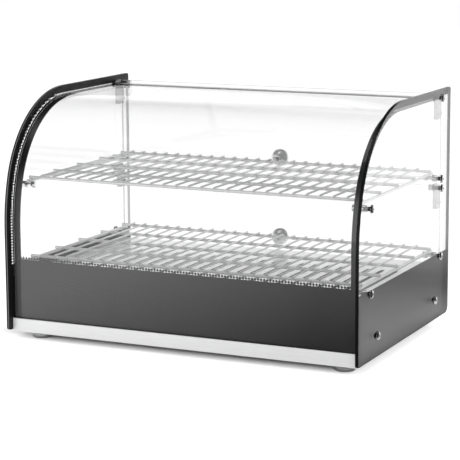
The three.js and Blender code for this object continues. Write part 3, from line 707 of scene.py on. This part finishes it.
amber = moulded("amber lens", (0.62, 0.17, 0.02, 1.0), (0.74, 0.24, 0.03, 1.0), roughness=0.06,
                grain_waves=300.0, depth=0.01 * mm, gloss=0.6)
sheath = element_sheath()
wool = wool_finish()


# Glass shell


def panel_outline():
    """The side panels' outline: toe corner, bent edge, rear upper corner and heel corner."""
    right = math.pi / 2
    corner = (front_y + toe_corner, panel_base + toe_corner)
    toe = arc(corner, toe_corner, 3 * right, 2 * right, corner_steps)
    top = arc((rear_y - toe_corner, panel_top - toe_corner), toe_corner, right, 0, corner_steps)
    heel = arc((rear_y - heel_corner, panel_base + heel_corner), heel_corner, 0, -right, steps=10)
    return np.vstack([toe, bent_edge(0), top, heel])


fastener_nodes = [f"stud_{level}_{end}" for level in levels for end in ends]
fastener_nodes += [f"base_screw_{end}" for end in ends]
fastener_nodes += [f"hinge_pivot_{level}" for level in levels]


def side_panel(label, side):
    holes = [circle(middle_of(f"{node}_{label}")[1:], shank_hole) for node in fastener_nodes]
    low, high = sorted((side * inner_x, side * outer_x))
    shape = plate([panel_outline(), *holes], low, high, "x")

    def face_finish(middles):
        """0 on the outer face, 1 on the printed inner face, 2 on the edges."""
        reach = np.abs(middles[:, 0])
        return np.select([reach > outer_x - face_slack, reach < inner_x + face_slack], [0, 1], 2)

    node = f"side_panel_{label}"
    piece(f"glass_{node}", shape, [glass_face, side_print, panel_rim], "case", node, slot="panel_glass",
          crease=flat_crease, choose=face_finish)


def front_glass_path():
    """The glass's middle line with its outward normals and half width, from the foot to the rear edge."""
    bent = bent_edge(mid_inset)
    centre = np.where((np.arange(len(bent)) < lead_steps)[:, None], lead_centre, bent * 0 + bend_centre)
    outward = (bent - centre) / np.linalg.norm(bent - centre, axis=1, keepdims=True)
    half = float(glass_high[0])
    notch_y = glass_high[1] - notch_depth
    top = panel_top - mid_inset
    foot = [[front_y + mid_inset, glass_low[2]], [front_y + mid_inset, lead_centre[1]]]
    rear = [[notch_y, top], [notch_y, top], [glass_high[1], top]]
    path = np.vstack([foot, bent[1:], rear])
    normal = np.vstack([[[-1, 0]] * 2, outward[1:], [[0, 1]] * 3])
    halves = np.array([half] * (len(path) - 2) + [notch_half] * 2)
    return path, normal, halves


def front_glass():
    """A thin rectangle with eased corners, width along X, carried along the bent path. Both ends are drawn
    in to the path, and a step in the width makes the notches round the hinge blocks."""
    path, normal, halves = front_glass_path()
    drawn = [0, 1 - arris / glass_thickness]
    thick = np.concatenate([drawn, np.ones(len(path)), drawn[::-1]])
    path = np.vstack([path[[0, 0]], path, path[[-1, -1]]])
    path[2, 1] += arris / 2
    path[-3, 0] -= arris / 2
    normal = np.vstack([normal[[0, 0]], normal, normal[[-1, -1]]])
    halves = np.concatenate([halves[[0, 0]], halves, halves[[-1, -1]]])
    corner = np.array([[1, 1], [-1, 1], [-1, -1], [1, -1]], float)
    flat = eased(corner * (glass_high[0], glass_thickness / 2), arris, 2, True)
    across = np.sign(flat[:, 0]) * (halves[:, None] - (glass_high[0] - np.abs(flat[:, 0])))
    out = thick[:, None] * flat[:, 1]
    back = path[:, :1] + out * normal[:, :1]
    up = path[:, 1:] + out * normal[:, 1:]

    def face_finish(middles):
        """0 on the outer face, 1 on the printed inner face, 2 on the edges."""
        nearest = np.argmin(((middles[:, None, 1:] - path[None]) ** 2).sum(axis=2), axis=1)
        rise = ((middles[:, 1:] - path[nearest]) * normal[nearest]).sum(axis=1)
        flat_face = glass_thickness / 2 - face_slack
        return np.select([rise > flat_face, rise < -flat_face], [0, 1], 2)

    shape = lattice(np.stack([across, back, up], axis=-1), False, True)
    piece("bent_front_glass", shape, [glass_face, front_print, front_rim], "case", "front_glass",
          slot="front_glass", crease=round_crease, choose=face_finish)


# Fasteners through the side panels


def socket_head(base=seat, radius=head_radius, height=head_height, rim=head_rim, scale=1.0):
    """Rows of a button head with a hexagon socket: a boxy dome, radius * sqrt(cos t) over
    rim + rise * sin t, cut off at the socket's mouth, then the socket's walls and floor."""
    mouth = socket_mouth * scale
    last = math.acos((mouth / radius) ** 2)
    t = np.linspace(0, last, num=11)
    rise = (height - rim) / math.sin(last)
    dome = [[radius * math.sqrt(math.cos(a)), rim + rise * math.sin(a)] for a in t]
    half = socket_half * scale
    floor = height - socket_depth * scale
    return [[radius - ease / 2, base], [radius, base + ease / 2], *dome, [half * socket_flare, height, 1.0],
            [half, height - ease / 2, 1.0], [half, floor, 1.0], [0.0, floor - ease, 0.0]]


def rounded_rows(profile):
    """A turned profile's rows with their corners eased."""
    return eased(profile, ease, steps=2).tolist()


def head_place(node, side):
    """The middle of a fastener on the panel's outer face."""
    place = middle_of(node)
    return [side * outer_x, place[1], place[2]]


panel_thickness = outer_x - inner_x
flange_radius = 5 * mm
flange_thickness = 8 * mm
groove_radius = 3 * mm
groove_width = 7 * mm
end_flange = 6.5 * mm
shank_radius = 2.5 * mm
base_thread = 2 * mm


def shelf_stud(node, side):
    face = -(panel_thickness + seat)
    groove = face - flange_thickness
    end = groove - groove_width
    stem = rounded_rows([[0, end - end_flange], [flange_radius, end - end_flange], [flange_radius, end],
                         [groove_radius, end], [groove_radius, groove], [flange_radius, groove],
                         [flange_radius, face], [shank_radius, face], [shank_radius, seat]])
    shape = turned(stem + socket_head(), head_place(node, side), (side, 0, 0), head_steps)
    piece(f"shelf_{node}", shape, chrome, "case", node, slot="chrome")


def base_screw(node, side):
    low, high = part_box(node)
    tip = -(outer_x - min(abs(low[0]), abs(high[0])))
    stem = rounded_rows([[0, tip], [base_thread, tip], [base_thread, seat]])
    shape = turned(stem + socket_head(), head_place(node, side), (side, 0, 0), head_steps)
    piece(f"panel_{node}", shape, chrome, "case", node, slot="chrome")


grip_radius = 6 * mm
grip_slot = 2.3 * mm
plain_radius = 5 * mm
pivot_shoulder = 11.4 * mm
pivot_pin = 3 * mm


def hinge_pivot(level, label, side):
    """A pin through the panel, a body inside it; the upper one has a slot for the front glass's edge."""
    node = f"hinge_pivot_{level}_{label}"
    low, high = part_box(node)
    inner_end = outer_x - min(abs(low[0]), abs(high[0]))
    radius = grip_radius if level == "upper" else plain_radius
    place = head_place(node, side)
    grip_start = outer_x - notch_half + seat
    body_end = grip_start if level == "upper" else inner_end
    stem = rounded_rows([[0, -body_end], [radius, -body_end], [radius, -pivot_shoulder],
                         [pivot_pin, -pivot_shoulder], [pivot_pin, seat]])
    shape = turned(stem + socket_head(), place, (side, 0, 0), head_steps)
    if level == "upper":
        opening = math.asin(grip_slot / radius)
        jaw = arc(place[1:], radius, -(math.pi - opening), math.pi - opening, steps=32)
        back = glass_high[1] + seat
        slot_back = [[back, place[2] + grip_slot], [back, place[2] - grip_slot]]
        from_x, to_x = sorted((side * (outer_x - inner_end), side * (outer_x - grip_start)))
        shape = together(shape, plate([np.vstack([jaw, slot_back])], from_x, to_x, "x", ease))
    piece(f"pin_{node}", shape, chrome, "case", node, slot="chrome")


# Wire shelves


def welded_bar(start, stop, radius, welds):
    """A bar whose radius swells by the bulge * exp(-(d / width)^2) at the distance d from each weld."""
    length = np.linalg.norm(np.subtract(stop, start))
    along = np.concatenate([[0, length], (np.asarray(welds)[:, None] + weld_points).ravel()])
    along = np.unique(np.round(along[(along >= 0) & (along <= length)], decimals=6))
    near = np.abs(along[:, None] - np.asarray(welds)[None]).min(axis=1)
    path = np.array(start) + along[:, None] * (np.subtract(stop, start) / length)
    return tube(path, radius + weld_bulge * np.exp(-((near / weld_width) ** 2)), wire_sides)


def wire_shelf(level):
    """Two side wires in the studs' grooves, five cross bars over them, and thin wires over the bars."""
    node = f"shelf_{level}"
    low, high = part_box(node)
    half = inner_x - seat - flange_thickness - groove_width / 2
    rest = low[2] + frame_wire
    bar_z = rest + 2 * frame_wire - weld_sink
    mesh_z = bar_z + frame_wire + mesh_wire - weld_sink
    front, rear = low[1], high[1]
    bar_y = np.linspace(front + bar_inset, rear - bar_inset, cross_bars)
    pairs = math.floor((half - mesh_margin) / mesh_pitch)
    mesh_x = np.arange(-pairs, pairs + 1) * mesh_pitch
    wires = []
    for side in sides.values():
        start = (side * half, front + ease, rest)
        stop = (side * half, rear - ease, rest)
        wires.append(welded_bar(start, stop, frame_wire, bar_y - front))
    end = half + bar_overhang - ease
    bar = frame_wire - weld_bulge / 2
    for y in bar_y:
        wires.append(welded_bar((-end, y, bar_z), (end, y, bar_z), bar, mesh_x + end))
    start = bar_y[0] - mesh_overhang
    stop = bar_y[-1] + mesh_overhang
    for x in mesh_x:
        wires.append(tube([(x, start, mesh_z), (x, stop, mesh_z)], mesh_wire - wire_play, wire_sides))
    piece(f"wire_{node}", together(*wires), wire_chrome, f"{level}_shelf", node, slot="wire_chrome",
          crease=50)


# Doors with their blocks, screws and knobs

door_corner = 3 * mm
block_corner = 3 * mm
acrylic_arris = 0.4 * mm
eye_radius = 7 * mm
pan_height = 2 * mm
pan_rim = 0.5 * mm


def flap_door(level):
    node = f"door_{level}"
    low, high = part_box(node)
    corners = [[low[0], low[2]], [high[0], low[2]], [high[0], high[2]], [low[0], high[2]]]
    knob = middle_of(f"knob_{level}")
    holes = [circle((knob[0], knob[2]), radius=2.3 * mm)]
    for label in sides:
        screw = middle_of(f"block_screw_{level}_{label}")
        holes.append(circle((screw[0], screw[2]), radius=1.8 * mm))
    outline = eased(corners, door_corner, corner_steps, True)
    shape = plate([outline, *holes], low[1], high[1], "y", acrylic_arris)

    def face_finish(middles):
        """0 on the broad faces, 1 on the edges."""
        depth = np.abs(middles[:, 1] - (low[1] + high[1]) / 2)
        return (depth < (high[1] - low[1]) / 2 - 0.05 * mm).astype(int)

    piece(f"clear_{node}", shape, [acrylic_face, acrylic_rim], f"{level}_door", node, slot="clear_acrylic",
          crease=flat_crease, choose=face_finish)


def hinge_block(level, label):
    """A clear block: a round eye about the pivot over a straight leg on the door's face."""
    node = f"hinge_block_{level}_{label}"
    low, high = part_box(node)
    pivot = middle_of(f"hinge_pivot_{level}_{label}")[1:]
    eye = arc(pivot, eye_radius, math.radians(62), math.pi, steps=14)
    corner = (low[1] + block_corner, low[2] + block_corner)
    foot = arc(corner, block_corner, math.pi, 1.5 * math.pi, steps=6)
    back = [[high[1], low[2]], [high[1], pivot[1] + 2 * mm]]
    outline = np.vstack([eye, foot, back])
    shape = plate([outline, circle(pivot, pivot_pin + seat)], low[0], high[0], "x", acrylic_arris)
    piece(f"clear_{node}", shape, block_face, f"{level}_door", node, slot="clear_acrylic",
          crease=flat_crease)


def pan_screw(node, body, towards, radius, head):
    """A pan head with a socket and its shank; towards is +1 when the shank runs to the back."""
    low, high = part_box(node)
    place = middle_of(node)
    place[1] = (low[1] + pan_height) if towards > 0 else (high[1] - pan_height)
    length = high[1] - low[1] - pan_height
    stem = rounded_rows([[0, -length], [radius, -length], [radius, 0]])
    rows = stem + socket_head(0, head, pan_height, pan_rim, head / head_radius)
    shape = turned(rows, place, (0, -towards, 0), screw_steps)
    piece(f"pan_{node}", shape, chrome, body, node, slot="chrome")


def door_knob(level):
    """A ball on a short neck: radius (cos a, sin a) about the ball's centre from the neck to the crown."""
    node = f"knob_{level}"
    low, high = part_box(node)
    place = middle_of(node)
    place[1] = low[1]
    ball = 14 * mm
    neck = 5 * mm
    edge = neck + 1 * mm
    top = 1.2 * mm
    start = -math.acos(neck / ball)
    rows = arc((0, high[1] - low[1] - ball), ball, start, math.pi / 2, steps=26).tolist()
    rows[-1][0] = 0.0
    collar = rounded_rows([[0, 0], [edge, 0], [edge, top], [neck, top], rows[0]])
    shape = turned(collar + rows[1:], place, (0, 1, 0), steps=48)
    piece(f"ball_{node}", shape, knob_chrome, f"{level}_door", node, slot="chrome", crease=round_crease)


# Base: trim, feet and elements


def front_trim():
    """The channel's outline, eased at its folds, carried straight across the case."""
    node = "front_trim"
    low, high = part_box(node)
    gauge = 1.2 * mm
    front, bottom = low[1:]
    back, top = high[1:]
    inside = front + gauge
    ledge = front_y + glass_inset - seat
    outline = [[front, bottom], [back, bottom], [back, bottom + gauge], [inside, bottom + gauge],
               [inside, top - gauge], [ledge, top - gauge], [ledge, top], [front, top]]
    outline = eased(outline, 1.1 * mm, corner_steps, closed=True)
    shape = plate([outline], low[0], high[0], "x", edge=0.15 * mm)
    piece("brushed_front_trim", shape, trim_steel, "case", node, slot="brushed_trim", crease=flat_crease)


def foot(end, label):
    """A turned foot: a chamfered sole disc, a narrower collar and a threaded stem of rings."""
    node = f"foot_{end}_{label}"
    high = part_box(node)[1]
    place = middle_of(node)
    place[2] = 0
    radius = 15 * mm
    chamfer = 1.5 * mm
    collar = 11 * mm
    stem = 2.5 * mm
    disc_top = 13.5 * mm
    turns = 6
    thread_depth = 0.25 * mm
    ring_z = np.linspace(disc_top, high[2], 2 * turns + 1)
    thread = [[stem - (thread_depth if number % 2 else 0), z] for number, z in enumerate(ring_z)]
    sole = rounded_rows([[0, 0], [radius - chamfer, 0], [radius, chamfer], [radius, 6.5 * mm],
                         [radius - 1 * mm, 7.5 * mm], [collar, 7.8 * mm], [collar, disc_top - 1 * mm],
                         [collar - 1 * mm, disc_top], [stem + 1 * mm, disc_top]])
    shape = turned(sole + thread + [[0, high[2]]], place, (0, 0, 1), steps=44)
    piece(f"disc_{node}", shape, shaded_foot_chrome, "case", node, slot="chrome")


def heating_element(label):
    """A round tube along a level hairpin: back to front, a half turn, and back again."""
    node = f"heating_element_{label}"
    low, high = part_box(node)
    middle_x = (low[0] + high[0]) / 2
    radius = 4 * mm
    bend = (high[0] - low[0]) / 2 - radius
    turn = arc((middle_x, low[1] + radius + bend), bend, math.pi, 2 * math.pi, steps=32)
    legs = [[[middle_x + side * bend, high[1] - ease]] for side in (-1, 1)]
    path = np.vstack([legs[0], turn, legs[1]])
    path = np.column_stack([path, np.full(len(path), (low[2] + high[2]) / 2)])
    shape = tube(path, radius - 0.05 * mm, sides_of_ring=24)
    piece(f"hairpin_{node}", shape, sheath, "case", node, slot="element_steel")


# Controls on the rear panel


def thermostat_dial():
    """A skirt and a fluted grip, eased into a flat top. The grip's radius is r + depth cos(flutes * a)."""
    node = "thermostat_knob"
    low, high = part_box(node)
    place = middle_of(node)
    steps = 144
    flutes = 18
    flute_depth = 0.35 * mm
    skirt = 16 * mm
    grip = 11.6 * mm
    bore = 3.4 * mm
    end = 9 * mm
    angle = np.arange(steps) * 2 * math.pi / steps
    depth = high[1] - low[1]
    rows = eased([[bore, 0, 0], [skirt, 0, 0], [skirt, 2.2 * mm, 0], [skirt - 1 * mm, 3 * mm, 0],
                  [grip + 0.6 * mm, 3.2 * mm, 1], [grip, 4.4 * mm, 1], [grip - 0.5 * mm, depth - 1 * mm, 1],
                  [grip - 1.6 * mm, depth, 0.4], [0, depth, 0]], 0.5 * mm)
    radius = rows[:, :1] + flute_depth * rows[:, 2:] * np.cos(flutes * angle)
    out = np.broadcast_to(low[1] + rows[:, 1:2], radius.shape)
    points = np.stack([place[0] + radius * np.cos(angle), out, place[2] + radius * np.sin(angle)], axis=-1)
    hole = turned([[bore, 0], [bore, end], [0, end]], (place[0], low[1], place[2]), (0, 1, 0), steps)
    shape = together(lattice(points, False, True), hole)
    piece("fluted_thermostat_knob", shape, dial_finish((place[0], high[1], place[2])), "thermostat_dial",
          node, slot="black_plastic")


def pilot_lamp():
    """A lens dome over a collar, on the lamp's body."""
    node = "pilot_lamp"
    low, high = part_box(node)
    place = middle_of(node)
    height = 3.5 * mm
    rim = 1.2 * mm
    collar = 6 * mm
    body = 4.7 * mm
    lens = collar - 1 * mm
    back = low[1] - high[1] + height
    place[1] = high[1] - height
    t = np.linspace(0, math.pi / 2, num=10)
    dome = [[lens * math.cos(a), rim + (height - rim) * math.sin(a)] for a in t]
    rows = rounded_rows([[0, back], [body, back], [body, seat], [collar, seat], [collar, rim], [lens, rim]])
    rows = rows + dome[1:-1] + [[0, height]]
    shape = turned(rows, place, (0, 1, 0), steps=40)
    piece("domed_pilot_lamp", shape, amber, "case", node, slot="amber_lens")


def cable_gland():
    """A gland with a hexagon flange outside, a domed cap and a hexagon nut inside."""
    node = "cable_gland"
    low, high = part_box(node)
    place = middle_of(node)
    place[1] = 0
    bore = 4 * mm
    neck = 6 * mm
    flat = 7.8 * mm
    nut_end = low[1] + 5 * mm
    outer = high[1] - 8 * mm
    rows = [[bore, low[1], 0], [flat, low[1], 1], [flat, nut_end, 1], [neck, nut_end, 0], [neck, outer, 0],
            [flat, outer, 1], [flat, outer + 3.6 * mm, 1], [neck + 1.1 * mm, outer + 4 * mm, 0],
            [neck + 0.9 * mm, outer + 6.2 * mm, 0], [bore + 0.8 * mm, high[1], 0],
            [bore, high[1] - 0.5 * mm, 0]]
    rows = eased(rows, 0.4 * mm, 2, closed=True)
    shape = turned(rows, place, (0, 1, 0), head_steps, close_rows=True)
    piece("hexagon_cable_gland", shape, black_plastic, "case", node, slot="black_plastic",
          crease=28)


def spindle():
    node = "thermostat_spindle"
    low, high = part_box(node)
    place = middle_of(node)
    place[1] = low[1]
    length = high[1] - low[1]
    radius = 3 * mm
    rows = rounded_rows([[0, 0], [radius, 0], [radius, length], [0, length]])
    shape = turned(rows, place, (0, 1, 0), screw_steps)
    piece("round_thermostat_spindle", shape, chrome, "thermostat_dial", node, slot="chrome")


for label, side in sides.items():
    side_panel(label, side)
    for level in levels:
        for end in ends:
            shelf_stud(f"stud_{level}_{end}_{label}", side)
        hinge_pivot(level, label, side)
        hinge_block(level, label)
        screw = f"block_screw_{level}_{label}"
        pan_screw(screw, f"{level}_door", towards=-1, radius=1.5 * mm, head=2.5 * mm)
    for end in ends:
        base_screw(f"base_screw_{end}_{label}", side)
        foot(end, label)
    heating_element(label)
for level in levels:
    wire_shelf(level)
    flap_door(level)
    door_knob(level)
    pan_screw(f"knob_screw_{level}", f"{level}_door", towards=1, radius=2 * mm, head=4.2 * mm)
front_glass()
front_trim()
thermostat_dial()
pilot_lamp()
cable_gland()
spindle()

# CAD pieces that show as they are, with their finishes
kept = {
    "heat_plate": deck_steel,
    "base_pan": pan_steel,
    "rear_panel": rear_steel,
    "element_bracket_front": pan_steel,
    "element_bracket_rear": pan_steel,
    "glass_bed_seal": rubber,
    "insulation_pad": wool,
    "thermostat_body": black_plastic,
    "thermostat_sensor": chrome,
    "switch_housing": black_plastic,
    "switch_rocker": black_plastic,
    "terminal_block": ceramic,
    "wiring_loom": loom_sleeve,
}
for node, own_finish in kept.items():
    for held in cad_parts[node].material_slots:
        held.material = own_finish


# Floor, light and camera

floor_half = 6.0
# Painted light: the floor glows round the case, and glows more to the camera alone, to lift and narrow the
# case's shadow
floor_glow = 0.26
glow_reach = 60 * mm
glow_fade = 500 * mm
far_glow = 0.3
seen_glow = 0.55
seen_start = (-35 * mm, -46 * mm)
seen_reach = (15 * mm, 30 * mm)
right_glow_end = 0.3
right_glow_softness = 0.1
screen_depth = 0.95
white = (1.0, 1.0, 1.0, 1.0)

# Dark screen and ceiling that polished surfaces see round the case
screen_slope = 1.2
screen_edge = 0.05
screen_start = 0.15
ceiling_start = 0.4
overhead_start = 0.97
overhead_share = 0.5
ceiling_tone = 0.03


def floor_screens(x, y):
    """How dark the floor mirrors, from 0 to 1: a ramp along x in front, a paler ramp along y at the right,
    and full at the far right, where y is less than on both of two slanting lines."""
    front_right = x.ramp(-0.46, 0.62) * y.below(-0.2, 0.12)
    rear_share = 0.65
    rear_right = y.ramp(0.0, 0.43) * y.below(0.7, 0.4) * x.above(0.3, 0.1) * rear_share
    steep_line = (x - 0.36) * 2.8
    flat_line = (x - 0.28) * 1.3 + 0.05
    far_right = (steep_line - y).above(0.0, 0.1) * (flat_line - y).above(0.0, 0.1)
    return front_right.at_least(rear_right).at_least(far_right)


def floor():
    """A flat white floor with painted light round the case: it glows near the case, lifting the case's
    shadow. To the camera's own rays it glows more in front and at the right, a painted light that keeps the
    shadow narrow. Polished surfaces see it darker to the right, as where dark screens stand."""
    mesh = bpy.data.meshes.new("floor")
    corners = [(-floor_half, -floor_half, 0), (floor_half, -floor_half, 0),
               (floor_half, floor_half, 0), (-floor_half, floor_half, 0)]
    mesh.from_pydata(corners, [], [(0, 1, 2, 3)])
    nodes = finish("white floor", Roughness=1.0, Specular_IOR_Level=0.0, Emission_Strength=1.0)
    x, y, _ = nodes.axes()
    screened = nodes.ray_is("Is Glossy Ray") * floor_screens(x, y) * screen_depth
    out = (x.math("ABSOLUTE") - outer_x).at_least(y.math("ABSOLUTE") - rear_y)
    seen_by_camera = nodes.ray_is("Is Camera Ray")
    fade = 1 - seen_by_camera * out.ramp(glow_reach, glow_fade) * (1 - far_glow)
    around = out.ramp(0.0, glow_reach) * (1 - screened) * floor_glow
    at_right = ((x - outer_x - seen_start[0]) / seen_reach[0]).at_least(0.0)
    at_right = at_right * y.below(right_glow_end, right_glow_softness)
    in_front = (front_y - seen_start[1] - y) / seen_reach[1]
    seen = at_right.at_least(in_front).at_most(1.0) * seen_by_camera * seen_glow
    glow = nodes.mixed((around + seen) * fade, grey(0.0), white)
    base = nodes.mixed(screened, white, grey(0.0))
    mesh.materials.append(feed(nodes, Base_Color=base, Emission_Color=glow))
    laid = bpy.data.objects.new("floor", mesh)
    bpy.context.scene.collection.objects.link(laid)


def world_light():
    """White all round. Polished surfaces see a dark ceiling, paler overhead, and a dark screen at the
    right."""
    world = bpy.data.worlds.new("studio")
    bpy.context.scene.world = world
    nodes = Nodes(world)
    background = nodes.tree.nodes["Background"].inputs
    x, y, z = nodes.axes()
    screen = (x * screen_slope - y).above(screen_edge, 0.2) * x.above(screen_start, 0.2)
    ceiling = z.above(ceiling_start, 0.25) * (1 - z.above(overhead_start, 0.03) * overhead_share)
    dark = nodes.ray_is("Is Glossy Ray") * screen.at_least(ceiling)
    nodes.join(background["Color"], nodes.mixed(dark, white, grey(ceiling_tone)))


def soft_box(name, place, aim, size, power):
    """A square soft lamp at a place, facing aim."""
    lamp = bpy.data.lights.new(name, "AREA")
    lamp.shape = "SQUARE"
    lamp.size = size
    lamp.energy = power
    hung = bpy.data.objects.new(name, lamp)
    back = np.subtract(place, aim)
    back /= np.linalg.norm(back)
    right = np.cross((0, 0, 1), back)
    right /= np.linalg.norm(right)
    hung.matrix_world = placed(right, np.cross(back, right), back, place)
    bpy.context.scene.collection.objects.link(hung)


def placed(right, up, back, place):
    """The matrix of an object whose axes are right, up and back."""
    return Matrix([[right[axis], up[axis], back[axis], place[axis]] for axis in range(3)] + [[0, 0, 0, 1]])


# The solved view: turn, tilt and roll in radians, place in metres
yaw, pitch, roll = 0.4276, 0.1682, -0.0031
camera_place = (1.1434, -2.42325, 0.6468)
lens_shift = -0.0565


def camera():
    """The photograph's view: place, turn, tilt and roll from the case's own outlines."""
    lens = bpy.data.cameras.new("camera")
    lens.sensor_width = 36.0
    lens.lens = 142.955
    lens.shift_x = lens_shift
    lens.shift_y = lens_shift
    lens.clip_start = 0.1
    lens.clip_end = 50.0
    eye = bpy.data.objects.new("camera", lens)
    ahead = np.array([-math.sin(yaw) * math.cos(pitch), math.cos(yaw) * math.cos(pitch), -math.sin(pitch)])
    level = np.array([math.cos(yaw), math.sin(yaw), 0])
    over = np.cross(level, ahead)
    right = math.cos(roll) * level + math.sin(roll) * over
    up = -math.sin(roll) * level + math.cos(roll) * over
    eye.matrix_world = placed(right, up, -ahead, camera_place)
    bpy.context.scene.collection.objects.link(eye)
    bpy.context.scene.camera = eye


floor()
world_light()
soft_box("overhead_soft_box", place=(-0.3, -0.5, 2.4), aim=(0, 0, 0.1), size=1.2, power=5.0)
camera()
bpy.context.scene.view_settings.view_transform = "Standard"
